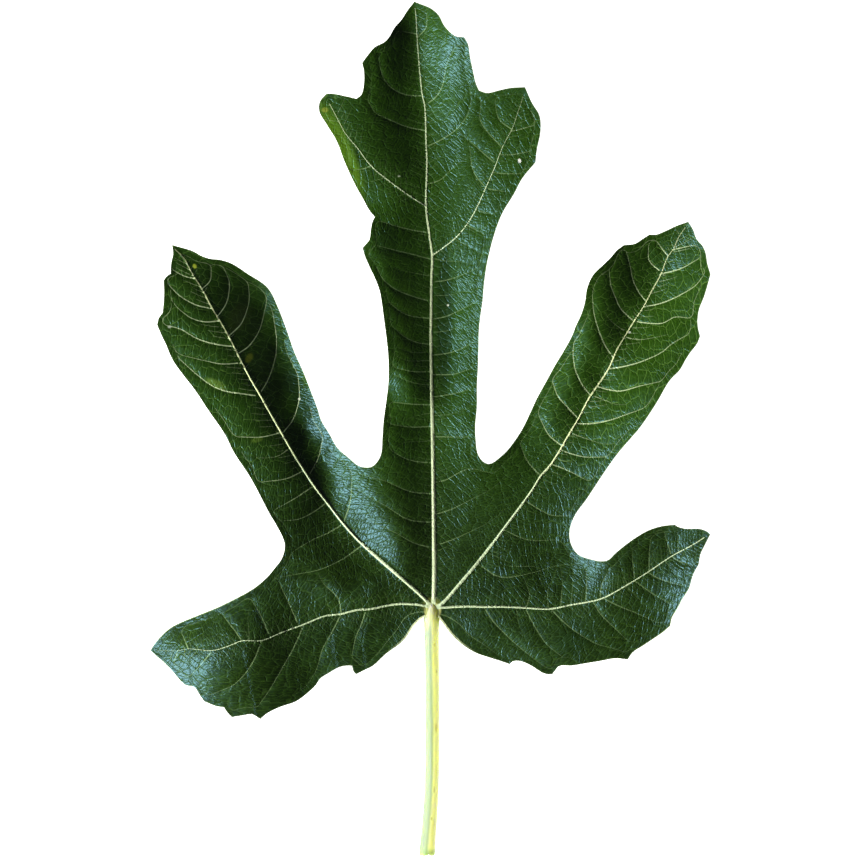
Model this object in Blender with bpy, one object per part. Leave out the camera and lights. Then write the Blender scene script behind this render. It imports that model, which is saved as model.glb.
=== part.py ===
# Fig leaf with its stalk, lying face up. Metres, +Z up, +Y towards the tip of the middle lobe.
# The point where the ribs meet stands over the origin.
import math

import bpy
import numpy as np
from mathutils import Vector
from mathutils.geometry import delaunay_2d_cdt

for old in list(bpy.data.objects):
    bpy.data.objects.remove(old, do_unlink=True)

# Driving dimensions, in millimetres unless a line says otherwise
SHEET_STEP = 1.0 / 3.0        # one step of the drawing sheet that the outline was read on
SHEET_HUB = (432.0, 610.0)    # place of the hub on that sheet, x to the right and y down
LAMINA = 0.66                 # thickness of the green blade between its veins
VEIN_DEPTH = 0.7              # how far a side vein stands out below
VEIN_GROOVE = 0.25            # how far it sinks into the upper face
QUILT = 0.30                  # how far the blade swells up between its veins
QUILT_REACH = 2.6             # distance from a vein at which the swelling is full
HUB_SPOT = 1.65               # radius of the flat spot under the hub
HUB_REACH = 9.0               # radius at which the thick hub has run out
JOINT_GAP = 0.3               # clearance between the hub and the stalk
MARGIN_STEP = 2.4             # spacing of the vertices along the margin
RIB_STEP = 4.2                # along the ribs
VEIN_STEP = 4.2               # along the side veins
FIELD_STEP = 3.7              # in the open blade between them
STALK_SIDES = 24
STALK_STEP = 3.0

# Margin, clockwise from the left of the stalk. A third value of 1 marks a sharp tooth or notch.
MARGIN = [
    (424, 617.2, 1), (419.6, 620), (413, 627), (408, 635), (401, 643), (386, 654), (373, 666), (365, 670),
    (356, 674.5, 1), (353, 671), (352, 666, 1), (348, 665.7), (340, 667), (329, 673), (320, 679),
    (316, 685), (310, 691), (296, 701.5), (280, 707), (267.6, 713), (260.5, 719, 1), (252, 714),
    (244.6, 715), (232, 717, 1), (228, 713), (224, 707, 1), (216.5, 706), (204, 701, 1), (200, 695),
    (194, 686.5), (187, 685.6), (182, 682.4), (177, 677), (172, 671), (164, 663), (156.6, 657),
    (149.6, 651, 1), (153, 645.5), (160.4, 636.5), (170.6, 627.6), (184.6, 620.6), (201, 614),
    (218, 607), (239.5, 596.4), (255, 587.4), (267.6, 576.6), (275, 567.7), (281, 560), (284, 552.6),
    (285, 545), (283.4, 538.6), (277.7, 527), (270, 514), (251, 478), (234, 452), (225, 434),
    (208.5, 410), (196, 391), (184.4, 376), (173, 360), (167, 346), (161.5, 334.5), (157.5, 325, 1),
    (159, 318.4), (163, 313, 1), (163.8, 304.6), (164.3, 294), (163.8, 280.5, 1), (167, 276),
    (170.7, 273.6, 1), (171.2, 262), (173, 254), (171.8, 244.7, 1), (178.7, 246.6), (192.5, 250.7),
    (201.7, 255.8), (210.8, 258.7), (219, 259.3), (230.4, 262.7), (239.5, 268), (247.6, 273.6),
    (259, 280.5), (266, 286), (271.7, 294), (276, 303.5), (282, 318), (288, 334.5), (293.5, 350.5),
    (302.7, 371), (310.7, 391), (317.6, 409), (321, 420), (328.7, 432.7), (337.6, 448), (349, 458),
    (359, 466), (371, 467), (377, 462), (381, 454.5), (382.5, 436), (383.5, 421), (386, 402),
    (388, 385.5), (388.6, 372), (388, 354), (386.6, 340), (384, 320), (382, 305), (379.6, 291),
    (375, 278.6), (369, 266), (364.5, 255.4), (362.6, 248, 1), (365.4, 244.6), (369.4, 240),
    (370.7, 230), (372.5, 221.4), (374.7, 217, 1), (369, 210), (363.6, 200), (354.7, 184),
    (344.8, 162.5), (336.5, 141), (326.5, 124.4), (319, 111), (320, 101), (326.5, 93.7, 1), (333, 93.7),
    (344.8, 96), (356.4, 98.7, 1), (361.4, 94.5), (363.8, 84.6), (363.8, 71), (362, 63, 1), (368, 54.7),
    (374.6, 47), (384.6, 41.5), (389.5, 35.7), (394.5, 26.5), (401, 19), (407.8, 8.3), (414.4, 0, 1),
    (422, 3.3), (431, 7.5), (439, 15), (444, 25), (451, 33), (456, 36.5), (464, 37.3, 1), (468, 44),
    (470, 56.4), (473, 71), (475.8, 83), (479, 90.4, 1), (487, 93), (499, 90.4), (510.6, 88),
    (525, 87.3, 1), (532, 103), (539.6, 116), (540.4, 132.7), (537, 149), (535.5, 162.5, 1), (522, 179),
    (514, 194), (502, 214), (494, 235.5), (488.4, 257), (486, 269.6), (484, 285), (482.8, 300),
    (480.5, 316), (479, 330), (478.6, 349), (478, 368), (477, 387), (477, 406.5), (475.3, 425.7),
    (475.8, 440), (477.7, 453.4), (482.5, 461), (488.5, 464), (494, 462), (498.4, 458.6),
    (506.5, 451.4), (514.7, 441), (523, 428), (529, 415.7), (537, 398.4), (546, 382), (555.5, 364.7),
    (564.7, 349.4), (572, 336), (576.3, 325), (581.4, 314), (585, 302), (587, 288.6), (591.6, 277),
    (595.7, 271.7), (604, 264), (611, 257), (617, 250), (624, 244.7, 1), (635.5, 243.2), (642.7, 238.6),
    (650, 234, 1), (657, 234), (666, 230.4), (677, 225.3), (688.8, 221.2, 1), (693.7, 229.4),
    (697, 238.6), (703, 245.7), (706, 253), (707.4, 263), (710.5, 274.3, 1), (708, 283.5), (704, 296.7),
    (698.8, 310), (697.2, 321, 1), (697.8, 328.4), (699.6, 336.5, 1), (696.7, 343.7), (689.6, 353),
    (684.5, 361), (679.4, 370), (669, 381), (656, 403), (640, 427), (629, 440), (620, 450.4),
    (611.6, 461.6), (602.4, 475), (593.3, 489), (586, 500), (576.4, 513), (572, 522), (569.7, 531.5),
    (570.3, 541), (574, 549.7), (580, 555.7), (591, 559.4), (600.6, 561.2), (608, 560), (615, 553.3),
    (625, 545), (637, 536.4), (649, 529.7), (662.4, 525.7), (674.5, 524.5, 1), (678, 526.7),
    (685.4, 528.5), (698.7, 528.5), (707, 531.5), (709.6, 534, 1), (703.6, 546), (700, 553.3),
    (698, 564, 1), (692.7, 574), (689.6, 585, 1), (687.8, 589.7), (681.8, 599.4), (677, 609),
    (672, 617.5), (670.3, 626, 1), (663.6, 632), (655, 638), (644, 645.4), (633, 652.7), (628, 660, 1),
    (623.6, 659.3), (615, 658.7), (600.6, 661.2), (586, 663.6), (570.5, 666), (562, 665.6),
    (558, 667.2, 1), (552.5, 674.5, 1), (547, 674.6), (541.5, 672.5), (533, 667), (524, 662.5),
    (516.7, 661), (512.4, 662, 1), (509.7, 664.6, 1), (500.5, 661.4), (488.5, 657.6), (475.5, 653),
    (463.6, 645.7), (451.7, 635), (444, 625), (438, 617.2, 1),
]

# Ribs: depth below at the root and at the tip, half width at the root and at the tip, then the line
RIBS = [
    (3.0, 0.5, 1.7, 0.8, [
        (432, 609), (433.5, 602), (433.2, 480), (432, 416), (431.3, 378), (430.8, 335), (431, 316),
        (431.4, 280), (432, 255.4), (428.8, 231), (426, 206), (426.8, 166), (426, 144), (424.7, 106),
        (422, 93), (419, 63), (417, 36.5), (416, 16.6), (414.8, 6)]),
    (2.6, 0.5, 1.6, 0.8, [
        (432, 609), (426.3, 601), (408, 584), (380, 560), (359, 541), (342.7, 523), (331, 508),
        (317, 490), (305.7, 473.5), (293, 453), (281.5, 433), (269, 411), (260, 395), (250, 378),
        (240.7, 360), (229, 337), (220, 321), (212, 308), (201.7, 288.5), (193.6, 276), (183.3, 257.6),
        (174.5, 249)]),
    (2.6, 0.5, 1.6, 0.8, [
        (432, 609), (441, 604.5), (462.5, 580.6), (479, 561), (506, 526), (533, 489), (541, 476),
        (551.4, 464), (560.6, 449.4), (570, 433), (578, 420), (590, 397), (597.3, 386), (608.6, 369),
        (617, 350), (626.3, 334.5), (634.5, 321), (643.7, 307), (654, 287.6), (662, 273), (668, 257),
        (674.3, 248), (679.4, 236.5), (686.6, 226)]),
    (2.3, 0.5, 1.5, 0.8, [
        (432, 609), (424.4, 606), (405, 604), (391, 605), (371, 609), (357, 610), (341, 614),
        (325, 616), (304.5, 624), (280, 633), (262.4, 640), (242, 640.4), (229, 645.5), (212.7, 650),
        (188.5, 648.6), (178, 650.6), (156, 651)]),
    (2.3, 0.5, 1.5, 0.8, [
        (432, 609), (442, 608), (466, 606.6), (484, 607), (506, 607), (525.4, 608), (550.5, 609),
        (571, 605), (587, 602.3), (603, 598), (625, 586), (646.6, 572.7), (671, 556.3), (691.5, 545),
        (704, 537)]),
    (1.2, 0.5, 1.0, 0.8, [
        (426, 206), (416, 200), (393, 184), (371, 166), (358, 149), (345, 133), (336, 116), (329, 103)]),
    (1.2, 0.5, 1.0, 0.8, [
        (432, 255.4), (454, 239), (466, 225.5), (476, 209), (486, 187), (494, 169), (503, 146),
        (512, 129), (519, 109), (523.4, 96)]),
    (1.0, 0.4, 1.0, 0.8, [
        (432, 609), (424, 612), (416, 612.6), (406, 617), (396, 631), (386, 643), (376.5, 656)]),
    (1.0, 0.4, 1.0, 0.8, [
        (432, 609), (440, 614), (449.5, 618), (460, 625), (469, 635), (482, 643.5), (499, 656)]),
]

# Side veins, each from its rib outwards
VEINS = [
    # left upper lobe, outer half from the tip down
    [(195, 279), (184, 276), (173, 270)],
    [(212, 309), (196, 305), (180, 296), (169, 285)],
    [(220, 321), (205, 322), (191, 318), (182, 311.5)],
    [(232.7, 347), (214, 344), (198, 339), (180, 329), (168, 326)],
    [(242, 363), (221, 364), (206, 361)],
    [(259, 396.5), (243, 394), (225, 391), (211, 385), (196, 373.5), (182, 361)],
    [(280, 433), (262, 437), (240, 437)],
    [(302, 471.6), (286.6, 478.6), (262, 482)],
    [(312, 487), (295.5, 498), (276, 509)],
    [(325, 504), (312, 513), (299, 519), (284, 520.7)],
    [(342, 525), (327, 533.5), (312, 540), (295.5, 550)],
    [(362, 545.6), (341, 560), (318, 570), (296, 574)],
    # left upper lobe, inner half
    [(203, 288.5), (210, 280.5), (211, 268)],
    [(219, 315.5), (226, 303.5), (228.6, 292), (228.6, 280.5), (224, 269)],
    [(229, 336), (240.7, 324), (246.4, 310), (248.7, 299), (248, 286)],
    [(239.5, 353), (248.7, 346), (259, 330), (265, 306)],
    [(261, 393), (269, 377), (275, 356), (276, 339), (273, 317)],
    [(283, 433), (293, 419), (299, 398), (298, 378)],
    [(308, 477), (318, 458), (322, 442)],
    [(343, 524), (350, 502), (352, 478)],
    # middle lobe, left half, from the crease at the notch down
    [(428, 232.6), (410, 229.5), (394, 225.4), (381, 221.4)],
    [(430.5, 259), (413.6, 254.5), (394, 250), (378, 246)],
    [(429, 301), (412, 296), (395, 289), (383, 279), (376, 266)],
    [(429, 318), (413.6, 316.5), (402, 312.5), (391, 304)],
    [(429.5, 344.4), (417, 342.4), (405, 337), (394, 328)],
    [(429.5, 371.6), (413.6, 371.6), (396, 368)],
    [(430, 405), (410, 404), (393, 402)],
    [(430, 426.6), (410, 427), (390, 424)],
    [(430.8, 462.5), (419, 462), (406, 458.7), (393.5, 452)],
    [(430.7, 494), (410, 491.4), (388, 482)],
    [(431, 522.6), (408, 519.4), (386, 506)],
    [(432, 548), (414, 543), (398, 534)],
    # middle lobe, right half
    [(433, 282), (446, 280), (456, 277), (471, 271)],
    [(432.8, 319), (445, 316.5), (458, 311), (473, 303)],
    [(433, 355), (446, 353.4), (458, 350), (471, 344)],
    [(433, 374.5), (454, 374), (470, 369)],
    [(433.7, 397), (452, 394), (468, 390)],
    [(434.6, 436.7), (450, 437), (467, 437)],
    [(435.8, 482.4), (446, 480), (457.5, 473.5), (470, 469), (490, 473)],
    [(434, 515), (452, 509), (476, 497)],
    [(434, 546), (452, 540), (474, 530)],
    # head of the middle lobe
    [(416.5, 33), (401, 30)],
    [(422, 95), (408, 94.5), (394.5, 89.5), (384.6, 79.6), (380, 66), (379, 53)],
    [(423.5, 130), (406, 126), (389.5, 119.4), (376, 113), (369, 103)],
    [(417.7, 36.5), (426, 26.5), (427, 15)],
    [(425, 104.5), (436, 96), (442.6, 84.6), (446, 66), (452, 52)],
    [(427.7, 146), (444, 137.6), (457.5, 127.7), (467.5, 114.4), (471, 101)],
    [(427.7, 184), (441, 179), (452, 168)],
    [(371, 166), (363, 169), (353, 170)],
    [(485, 187), (476, 176), (472, 166), (470, 150)],
    [(496, 164), (481, 151), (466, 137.6)],
    [(502, 147.6), (487, 131), (480, 119), (481, 104)],
    [(510.6, 129), (499, 119), (495, 103)],
    [(467.5, 225.5), (482, 233)],
    [(476, 210), (490, 214)],
    [(487, 189), (506, 192)],
    [(496, 174), (519, 174)],
    [(505.6, 156.7), (529, 151.7)],
    [(512, 132), (532, 126)],
    # right upper lobe, outer half from the tip down
    [(673, 249), (694, 245)],
    [(662.6, 273.5), (682, 268), (698, 259)],
    [(644, 306.7), (660, 303.4), (672, 299), (682, 294), (696, 285), (703, 276)],
    [(635.5, 321), (649, 323), (663, 323), (675, 317), (688, 318)],
    [(609, 369), (626, 366), (643, 361), (662, 352), (672, 343.7), (683.5, 337)],
    [(598.4, 387), (610.6, 390), (621, 391), (640, 386), (658, 382)],
    [(578, 424.4), (594, 423.4), (610.6, 420), (623, 415.7), (640, 409.6)],
    [(561, 450.4), (572, 454), (585, 457), (603.5, 457)],
    [(552.4, 464.7), (566.7, 470), (586, 480)],
    [(526.6, 502), (550.6, 515), (566, 516)],
    [(504, 530), (528, 540), (556, 540)],
    [(478, 564), (500, 577), (528, 574), (556, 566)],
    # right upper lobe, inner half
    [(667.7, 255), (658, 241.6)],
    [(660.5, 271), (650, 260), (649, 247)],
    [(645, 300), (638.6, 290.6), (633.5, 279.4), (631, 267), (627, 252)],
    [(633, 320), (621, 308), (615.6, 296.7), (611, 284.5), (609.5, 271)],
    [(612.6, 357), (604, 342.7), (598, 327), (594, 312), (592.7, 297)],
    [(590, 395), (582, 384), (576, 371), (573.4, 355.5), (574, 344)],
    [(577.4, 418), (568, 407.6), (558, 396), (553, 382)],
    [(560.6, 445), (549, 435), (540, 418)],
    [(541, 476), (528, 462), (521, 446)],
    # left lower lobe, lower half from the stalk outwards
    [(366, 611), (361, 625), (356, 636.5), (352, 655)],
    [(341, 614), (332.5, 631), (323, 648), (318, 665)],
    [(304, 625), (293, 649), (280, 672), (270, 689), (260, 703.5)],
    [(262, 640), (256, 656), (250, 667), (242, 677), (233, 685), (221.6, 690)],
    [(212.7, 650.6), (204, 661), (195, 671)],
    [(178, 652), (174, 662)],
    # left lower lobe, upper half
    [(341, 611.7), (338, 598), (326, 586)],
    [(297.5, 622.5), (289, 603), (280, 584)],
    [(269, 634), (261, 615), (252, 600)],
    [(242, 639), (232, 626), (223, 615)],
    [(188.5, 648), (182, 634)],
    # right lower lobe, lower half from the stalk outwards
    [(484, 608), (492, 620), (505, 634), (518, 646), (531, 656.5), (540.6, 664)],
    [(525.4, 609), (535, 627), (547, 644.6), (561, 656)],
    [(551, 609.5), (565.4, 623.6), (580, 634.5), (597, 644), (612.7, 648.4)],
    [(593, 602), (600.6, 614), (615, 628.4), (627, 640)],
    [(603.6, 599), (619, 606), (639.4, 614.5), (656, 622)],
    [(634.5, 581), (651.5, 593), (669, 603)],
    [(648, 573), (661, 579.4), (680, 585)],
    [(671.5, 557), (680.6, 562), (690, 565)],
    # right lower lobe, upper half
    [(526.5, 608), (529.7, 594), (527, 586)],
    [(560.6, 606.6), (562.4, 586)],
    [(585.4, 602), (586.7, 586), (586, 570)],
    [(599.4, 597), (602, 583.6), (608, 571.5)],
    [(634.5, 580), (632, 556)],
    [(649, 571.5), (649, 558), (650, 542)],
    [(671, 556), (667, 542.4), (664, 532)],
]

# Drape: places on the sheet, and the height of the upper face there
DRAPE = [
    # hub and the ribs around it
    (432, 609, 5.4), (432, 560, 6.6), (433, 520, 7.4), (433, 480, 7.6), (380, 560, 6.6), (342, 523, 6.4),
    (479, 561, 6.4), (506, 526, 7.4), (390, 606, 5.8), (480, 607, 6.0), (462, 560, 6.8),
    (466, 510, 7.8), (484, 470, 8.2), (404, 572, 8.0), (415, 630, 5.2), (446, 628, 5.0), (496, 618, 6.2),
    # fold between the left upper lobe and the middle one
    (322, 466, 5.2), (345, 468, 7.6), (366, 466, 9.4), (386, 468, 10.0), (332, 498, 5.4), (350, 500, 7.2),
    (372, 500, 9.4), (392, 500, 10.0), (362, 536, 6.4), (380, 536, 8.2), (398, 538, 9.4),
    # middle lobe up to the crease
    (384, 442, 9.8), (432, 430, 7.0), (476, 430, 9.0), (447, 385, 6.6),
    (387, 402, 8.0), (412, 398, 8.6), (386, 386, 7.8),
    (406, 376, 9.4), (386, 424, 9.4), (432, 385, 6.8), (477, 387, 8.7), (388, 358, 10.2), (431, 345, 6.8),
    (446, 345, 6.5), (479, 340, 8.9), (382, 300, 11.4), (431, 300, 7.4), (447, 300, 7.0),
    (483, 300, 9.5), (365, 250, 12.4), (400, 250, 10.8), (431, 255, 8.2), (490, 255, 11.0),
    (371, 232, 12.4),
    # head of the middle lobe
    (366, 204, 10.2), (398, 205, 10.8), (426, 206, 9.4), (505, 205, 12.8), (350, 172, 11.8),
    (371, 166, 12.0), (398, 160, 10.8), (426, 160, 8.8), (470, 165, 11.2), (533, 160, 14.0),
    (322, 106, 12.0), (345, 133, 12.4), (372, 120, 12.2), (400, 115, 10.0), (425, 110, 8.4),
    (455, 110, 11.2), (490, 110, 12.8), (526, 92, 14.2), (364, 70, 12.8), (392, 65, 11.0), (419, 63, 8.4),
    (444, 62, 11.4), (470, 58, 13.9), (390, 34, 11.4), (417, 33, 8.6), (452, 34, 13.8), (414, 2, 8.2),
    (434, 12, 11.0),
    # left upper lobe
    (174, 250, 8.8), (200, 262, 8.2), (164, 300, 11.0), (203, 292, 9.4), (232, 285, 6.2), (252, 285, 4.2),
    (190, 345, 11.4), (228, 336, 9.8), (248, 325, 6.8), (262, 312, 4.0), (280, 318, 4.8), (214, 400, 11.2),
    (262, 398, 9.2), (280, 390, 5.8), (292, 380, 4.6), (308, 386, 6.4), (242, 460, 10.8), (288, 445, 8.8),
    (305, 430, 5.2), (323, 426, 7.5), (278, 350, 4.2), (296, 350, 5.2), (266, 350, 6.0),
    (262, 500, 10.2), (312, 484, 7.6), (283, 545, 9.4), (322, 545, 7.4), (350, 558, 6.4),
    # right upper lobe
    (688, 224, 9.4), (650, 238, 8.4), (668, 260, 7.2), (600, 270, 10.4), (626, 280, 8.0), (655, 287, 6.4),
    (684, 283, 9.6), (706, 283, 12.8), (585, 302, 9.4), (604, 306, 9.0), (630, 328, 6.7), (660, 335, 10.2),
    (696, 335, 14.0), (603, 377, 7.2), (640, 385, 12.2), (572, 336, 7.0), (590, 340, 8.9), (565, 349, 6.6),
    (582, 358, 8.6), (556, 364, 6.3), (572, 376, 8.3), (547, 380, 6.2), (562, 395, 8.0), (538, 398, 6.2),
    (552, 415, 8.0), (529, 415, 6.3), (665, 388, 14.6), (582, 413, 7.4), (612, 420, 10.6),
    (640, 425, 13.6), (518, 436, 6.8), (548, 462, 7.6), (585, 480, 9.0), (614, 460, 11.4), (528, 496, 7.8),
    (560, 510, 7.8), (573, 520, 8.2),
    # left lower lobe
    (152, 651, 1.8), (185, 649, 6.2), (185, 622, 4.6), (175, 672, 4.0), (212, 650, 8.8), (218, 610, 7.4),
    (206, 695, 6.2), (204, 672, 7.8), (250, 642, 9.6), (250, 594, 8.8), (240, 690, 7.6),
    (258, 714, 5.8), (290, 624, 7.0), (290, 590, 8.2), (282, 672, 6.6), (298, 698, 4.8), (335, 614, 6.2),
    (335, 588, 8.6), (330, 650, 5.8), (375, 588, 8.0),
    (318, 680, 4.2), (356, 668, 5.0), (368, 640, 5.4),
    # right lower lobe
    (520, 607, 6.2), (520, 575, 6.6), (548, 607, 6.6), (545, 580, 6.0), (562, 578, 6.2), (574, 552, 6.4),
    (590, 573, 7.8), (600, 561, 9.4), (612, 592, 9.0), (614, 560, 10.2), (650, 571, 9.8), (640, 538, 11.0),
    (676, 554, 11.0), (676, 528, 12.0), (707, 534, 13.6), (698, 562, 13.4), (660, 605, 8.6), (684, 592, 11.4),
    (668, 628, 7.4), (620, 625, 7.4), (628, 656, 5.8),
    (575, 635, 6.8), (552, 670, 5.4), (525, 640, 6.2), (508, 660, 4.8), (490, 635, 5.8), (470, 645, 5.2),
]

# Stalk: place on the sheet along its middle, height of the middle, radius
STALK = [
    (431.2, 2.75, 2.6, 617.2), (431.6, 2.85, 2.48, 628), (432.0, 3.2, 2.42, 660), (432.3, 3.7, 2.42, 700),
    (432.3, 4.0, 2.42, 745), (431.9, 3.8, 2.42, 784), (430.2, 3.5, 2.46, 815), (428.2, 3.3, 2.6, 840),
    (427.2, 3.2, 2.72, 852), (427.0, 3.2, 2.7, 857),
]


def sheet(x, y):
    """Place on the drawing sheet to millimetres from the hub."""
    return ((x - SHEET_HUB[0]) * SHEET_STEP, (SHEET_HUB[1] - y) * SHEET_STEP)


def curve(points, step):
    """Even steps along a smooth curve through the points, with both ends kept."""
    pts = np.array(points, dtype=float)
    if len(pts) > 2:
        first = 2 * pts[0] - pts[1]
        last = 2 * pts[-1] - pts[-2]
        ext = np.vstack([first, pts, last])
        fine = [pts[0]]
        for i in range(1, len(ext) - 2):
            p0, p1, p2, p3 = ext[i - 1], ext[i], ext[i + 1], ext[i + 2]
            t1 = max(np.linalg.norm(p1 - p0), 1e-6) ** 0.5
            t2 = t1 + max(np.linalg.norm(p2 - p1), 1e-6) ** 0.5
            t3 = t2 + max(np.linalg.norm(p3 - p2), 1e-6) ** 0.5
            for t in np.linspace(t1, t2, 9)[1:]:
                a1 = p0 * (t1 - t) / t1 + p1 * t / t1
                a2 = p1 * (t2 - t) / (t2 - t1) + p2 * (t - t1) / (t2 - t1)
                a3 = p2 * (t3 - t) / (t3 - t2) + p3 * (t - t2) / (t3 - t2)
                b1 = a1 * (t2 - t) / t2 + a2 * t / t2
                b2 = a2 * (t3 - t) / (t3 - t1) + a3 * (t - t1) / (t3 - t1)
                fine.append(b1 * (t2 - t) / (t2 - t1) + b2 * (t - t1) / (t2 - t1))
        pts = np.array(fine)
    length = np.concatenate([[0.0], np.cumsum(np.linalg.norm(np.diff(pts, axis=0), axis=1))])
    count = max(1, int(round(length[-1] / step)))
    marks = np.linspace(0.0, length[-1], count + 1)
    return np.column_stack([np.interp(marks, length, pts[:, k]) for k in range(pts.shape[1])])


def margin_loop(step):
    """The whole margin as one loop of points, sharp at its teeth and notches."""
    loop = []
    run = []
    for entry in MARGIN:
        run.append(sheet(entry[0], entry[1]))
        if len(entry) == 3 and len(run) > 1:
            loop.extend(curve(run, step)[:-1])
            run = [run[-1]]
    base = curve([sheet(438, 617.2), sheet(424, 617.2)], 1.2)
    loop.extend(base[:-1])
    return np.array(loop)


def to_lines(points, starts, ends):
    """For each point: distance to the nearest segment, its number and the share along it."""
    best = np.full(len(points), 1e9)
    which = np.zeros(len(points), dtype=int)
    share = np.zeros(len(points))
    along = ends - starts
    length2 = np.maximum((along ** 2).sum(axis=1), 1e-12)
    for i in range(len(starts)):
        rel = points - starts[i]
        t = np.clip((rel @ along[i]) / length2[i], 0.0, 1.0)
        d = np.hypot(rel[:, 0] - t * along[i, 0], rel[:, 1] - t * along[i, 1])
        near = d < best
        best[near] = d[near]
        which[near] = i
        share[near] = t[near]
    return best, which, share


def inside(points, loop):
    """True where a point lies inside the loop."""
    x, y = points[:, 0], points[:, 1]
    result = np.zeros(len(points), dtype=bool)
    for a, b in zip(loop, np.roll(loop, -1, axis=0)):
        if a[1] == b[1]:
            continue
        crosses = (a[1] > y) != (b[1] > y)
        at = a[0] + (y - a[1]) * (b[0] - a[0]) / (b[1] - a[1])
        result ^= crosses & (x < at)
    return result


def bend(r2):
    """Thin plate bending, from squared distances."""
    return 0.5 * r2 * np.log(np.maximum(r2, 1e-12))


def drape_weights():
    """Weights of the smooth sheet that passes close by all the drape heights."""
    places = np.array([sheet(x, y) for x, y, z in DRAPE])
    heights = np.array([z for x, y, z in DRAPE])
    n = len(places)
    r2 = ((places[:, None, :] - places[None, :, :]) ** 2).sum(axis=2)
    left = np.zeros((n + 3, n + 3))
    left[:n, :n] = bend(r2) + np.eye(n) * 6.0
    left[:n, n] = 1.0
    left[:n, n + 1:] = places
    left[n:, :n] = left[:n, n:].T
    return places, np.linalg.solve(left, np.concatenate([heights, np.zeros(3)]))


def drape(points, places, weights):
    """Height of the smooth sheet over the points."""
    n = len(places)
    r2 = ((points[:, None, :] - places[None, :, :]) ** 2).sum(axis=2)
    return bend(r2) @ weights[:n] + weights[n] + points @ weights[n + 1:]


def ease(value):
    """Smooth step from 0 to 1."""
    v = np.clip(value, 0.0, 1.0)
    return v * v * (3.0 - 2.0 * v)


def material(name, colour, roughness):
    """A plain shader in one colour."""
    mat = bpy.data.materials.new(name)
    mat.use_nodes = True
    shader = mat.node_tree.nodes["Principled BSDF"]
    shader.inputs["Base Color"].default_value = (*colour, 1.0)
    shader.inputs["Roughness"].default_value = roughness
    return mat


def add_object(name, verts, faces, mat):
    """One mesh object from places in millimetres, smooth but for its sharp rims."""
    mesh = bpy.data.meshes.new(name)
    mesh.from_pydata([(x * 0.001, y * 0.001, z * 0.001) for x, y, z in verts], [], faces)
    mesh.materials.append(mat)
    mesh.polygons.foreach_set("use_smooth", [True] * len(mesh.polygons))
    mesh.set_sharp_from_angle(angle=math.radians(50))
    mesh.update()
    obj = bpy.data.objects.new(name, mesh)
    bpy.context.scene.collection.objects.link(obj)
    return obj


leaf_green = material("leaf_green", (0.035, 0.105, 0.03), 0.38)
stalk_pale = material("stalk_pale", (0.55, 0.62, 0.25), 0.5)

# Blade: places of all the vertices, seen from above
margin = margin_loop(MARGIN_STEP)
margin_ends = np.roll(margin, -1, axis=0)
places = [tuple(p) for p in margin]
loop = list(range(len(margin)))
edges = []

rib_fine = [curve([sheet(x, y) for x, y in rib[4]], 0.5) for rib in RIBS]
stations = [[0, len(line) - 1] for line in rib_fine]
vein_lines = []
for vein in VEINS:
    line = curve([sheet(x, y) for x, y in vein], VEIN_STEP)
    gap = [np.linalg.norm(fine - line[0], axis=1) for fine in rib_fine]
    nearest = int(np.argmin([g.min() for g in gap]))
    mark = int(np.argmin(gap[nearest]))
    taken = min(stations[nearest], key=lambda s: abs(s - mark))
    if abs(taken - mark) < 4:
        mark = taken
    else:
        stations[nearest].append(mark)
    line[0] = rib_fine[nearest][mark]
    vein_lines.append(line)

free = []
rib_starts, rib_ends, rib_of, rib_from, rib_to = [], [], [], [], []
for number, fine in enumerate(rib_fine):
    root_depth, tip_depth, root_half, tip_half, points = RIBS[number]
    marks = sorted(set(stations[number]))
    full = [marks[0]]
    for mark in marks[1:]:
        pieces = max(1, int(round((mark - full[-1]) * 0.5 / RIB_STEP)))
        first = full[-1]
        full.extend(first + (mark - first) * k // pieces for k in range(1, pieces + 1))
    chain = []
    for mark in full:
        place = fine[mark]
        known = next((i for i, p in enumerate(places) if math.dist(p, place) < 0.02), None)
        if known is None:
            places.append(tuple(place))
            known = len(places) - 1
        chain.append(known)
        ahead = fine[min(mark + 1, len(fine) - 1)] - fine[max(mark - 1, 0)]
        side = np.array([-ahead[1], ahead[0]]) / np.linalg.norm(ahead)
        half = root_half + (tip_half - root_half) * mark / (len(fine) - 1)
        free.append(place + side * half)
        free.append(place - side * half)
    for a, b, first, last in zip(chain[:-1], chain[1:], full[:-1], full[1:]):
        edges.append((a, b))
        rib_starts.append(places[a])
        rib_ends.append(places[b])
        rib_of.append(number)
        rib_from.append(first / (len(fine) - 1))
        rib_to.append(last / (len(fine) - 1))
rib_starts = np.array(rib_starts)
rib_ends = np.array(rib_ends)

vein_starts, vein_ends = [], []
for line in vein_lines:
    away = to_lines(line, margin, margin_ends)[0]
    from_rib = to_lines(line, rib_starts, rib_ends)[0]
    keep = [i for i in range(len(line)) if i == 0 or (away[i] > 1.3 and from_rib[i] > 1.6)]
    chain = []
    for i in keep:
        place = line[i]
        known = next((k for k, p in enumerate(places) if math.dist(p, place) < 0.3), None)
        if known is None:
            places.append(tuple(place))
            known = len(places) - 1
        chain.append(known)
    for a, b in zip(chain[:-1], chain[1:]):
        if a != b:
            edges.append((a, b))
            vein_starts.append(places[a])
            vein_ends.append(places[b])
vein_starts = np.array(vein_starts)
vein_ends = np.array(vein_ends)

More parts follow.
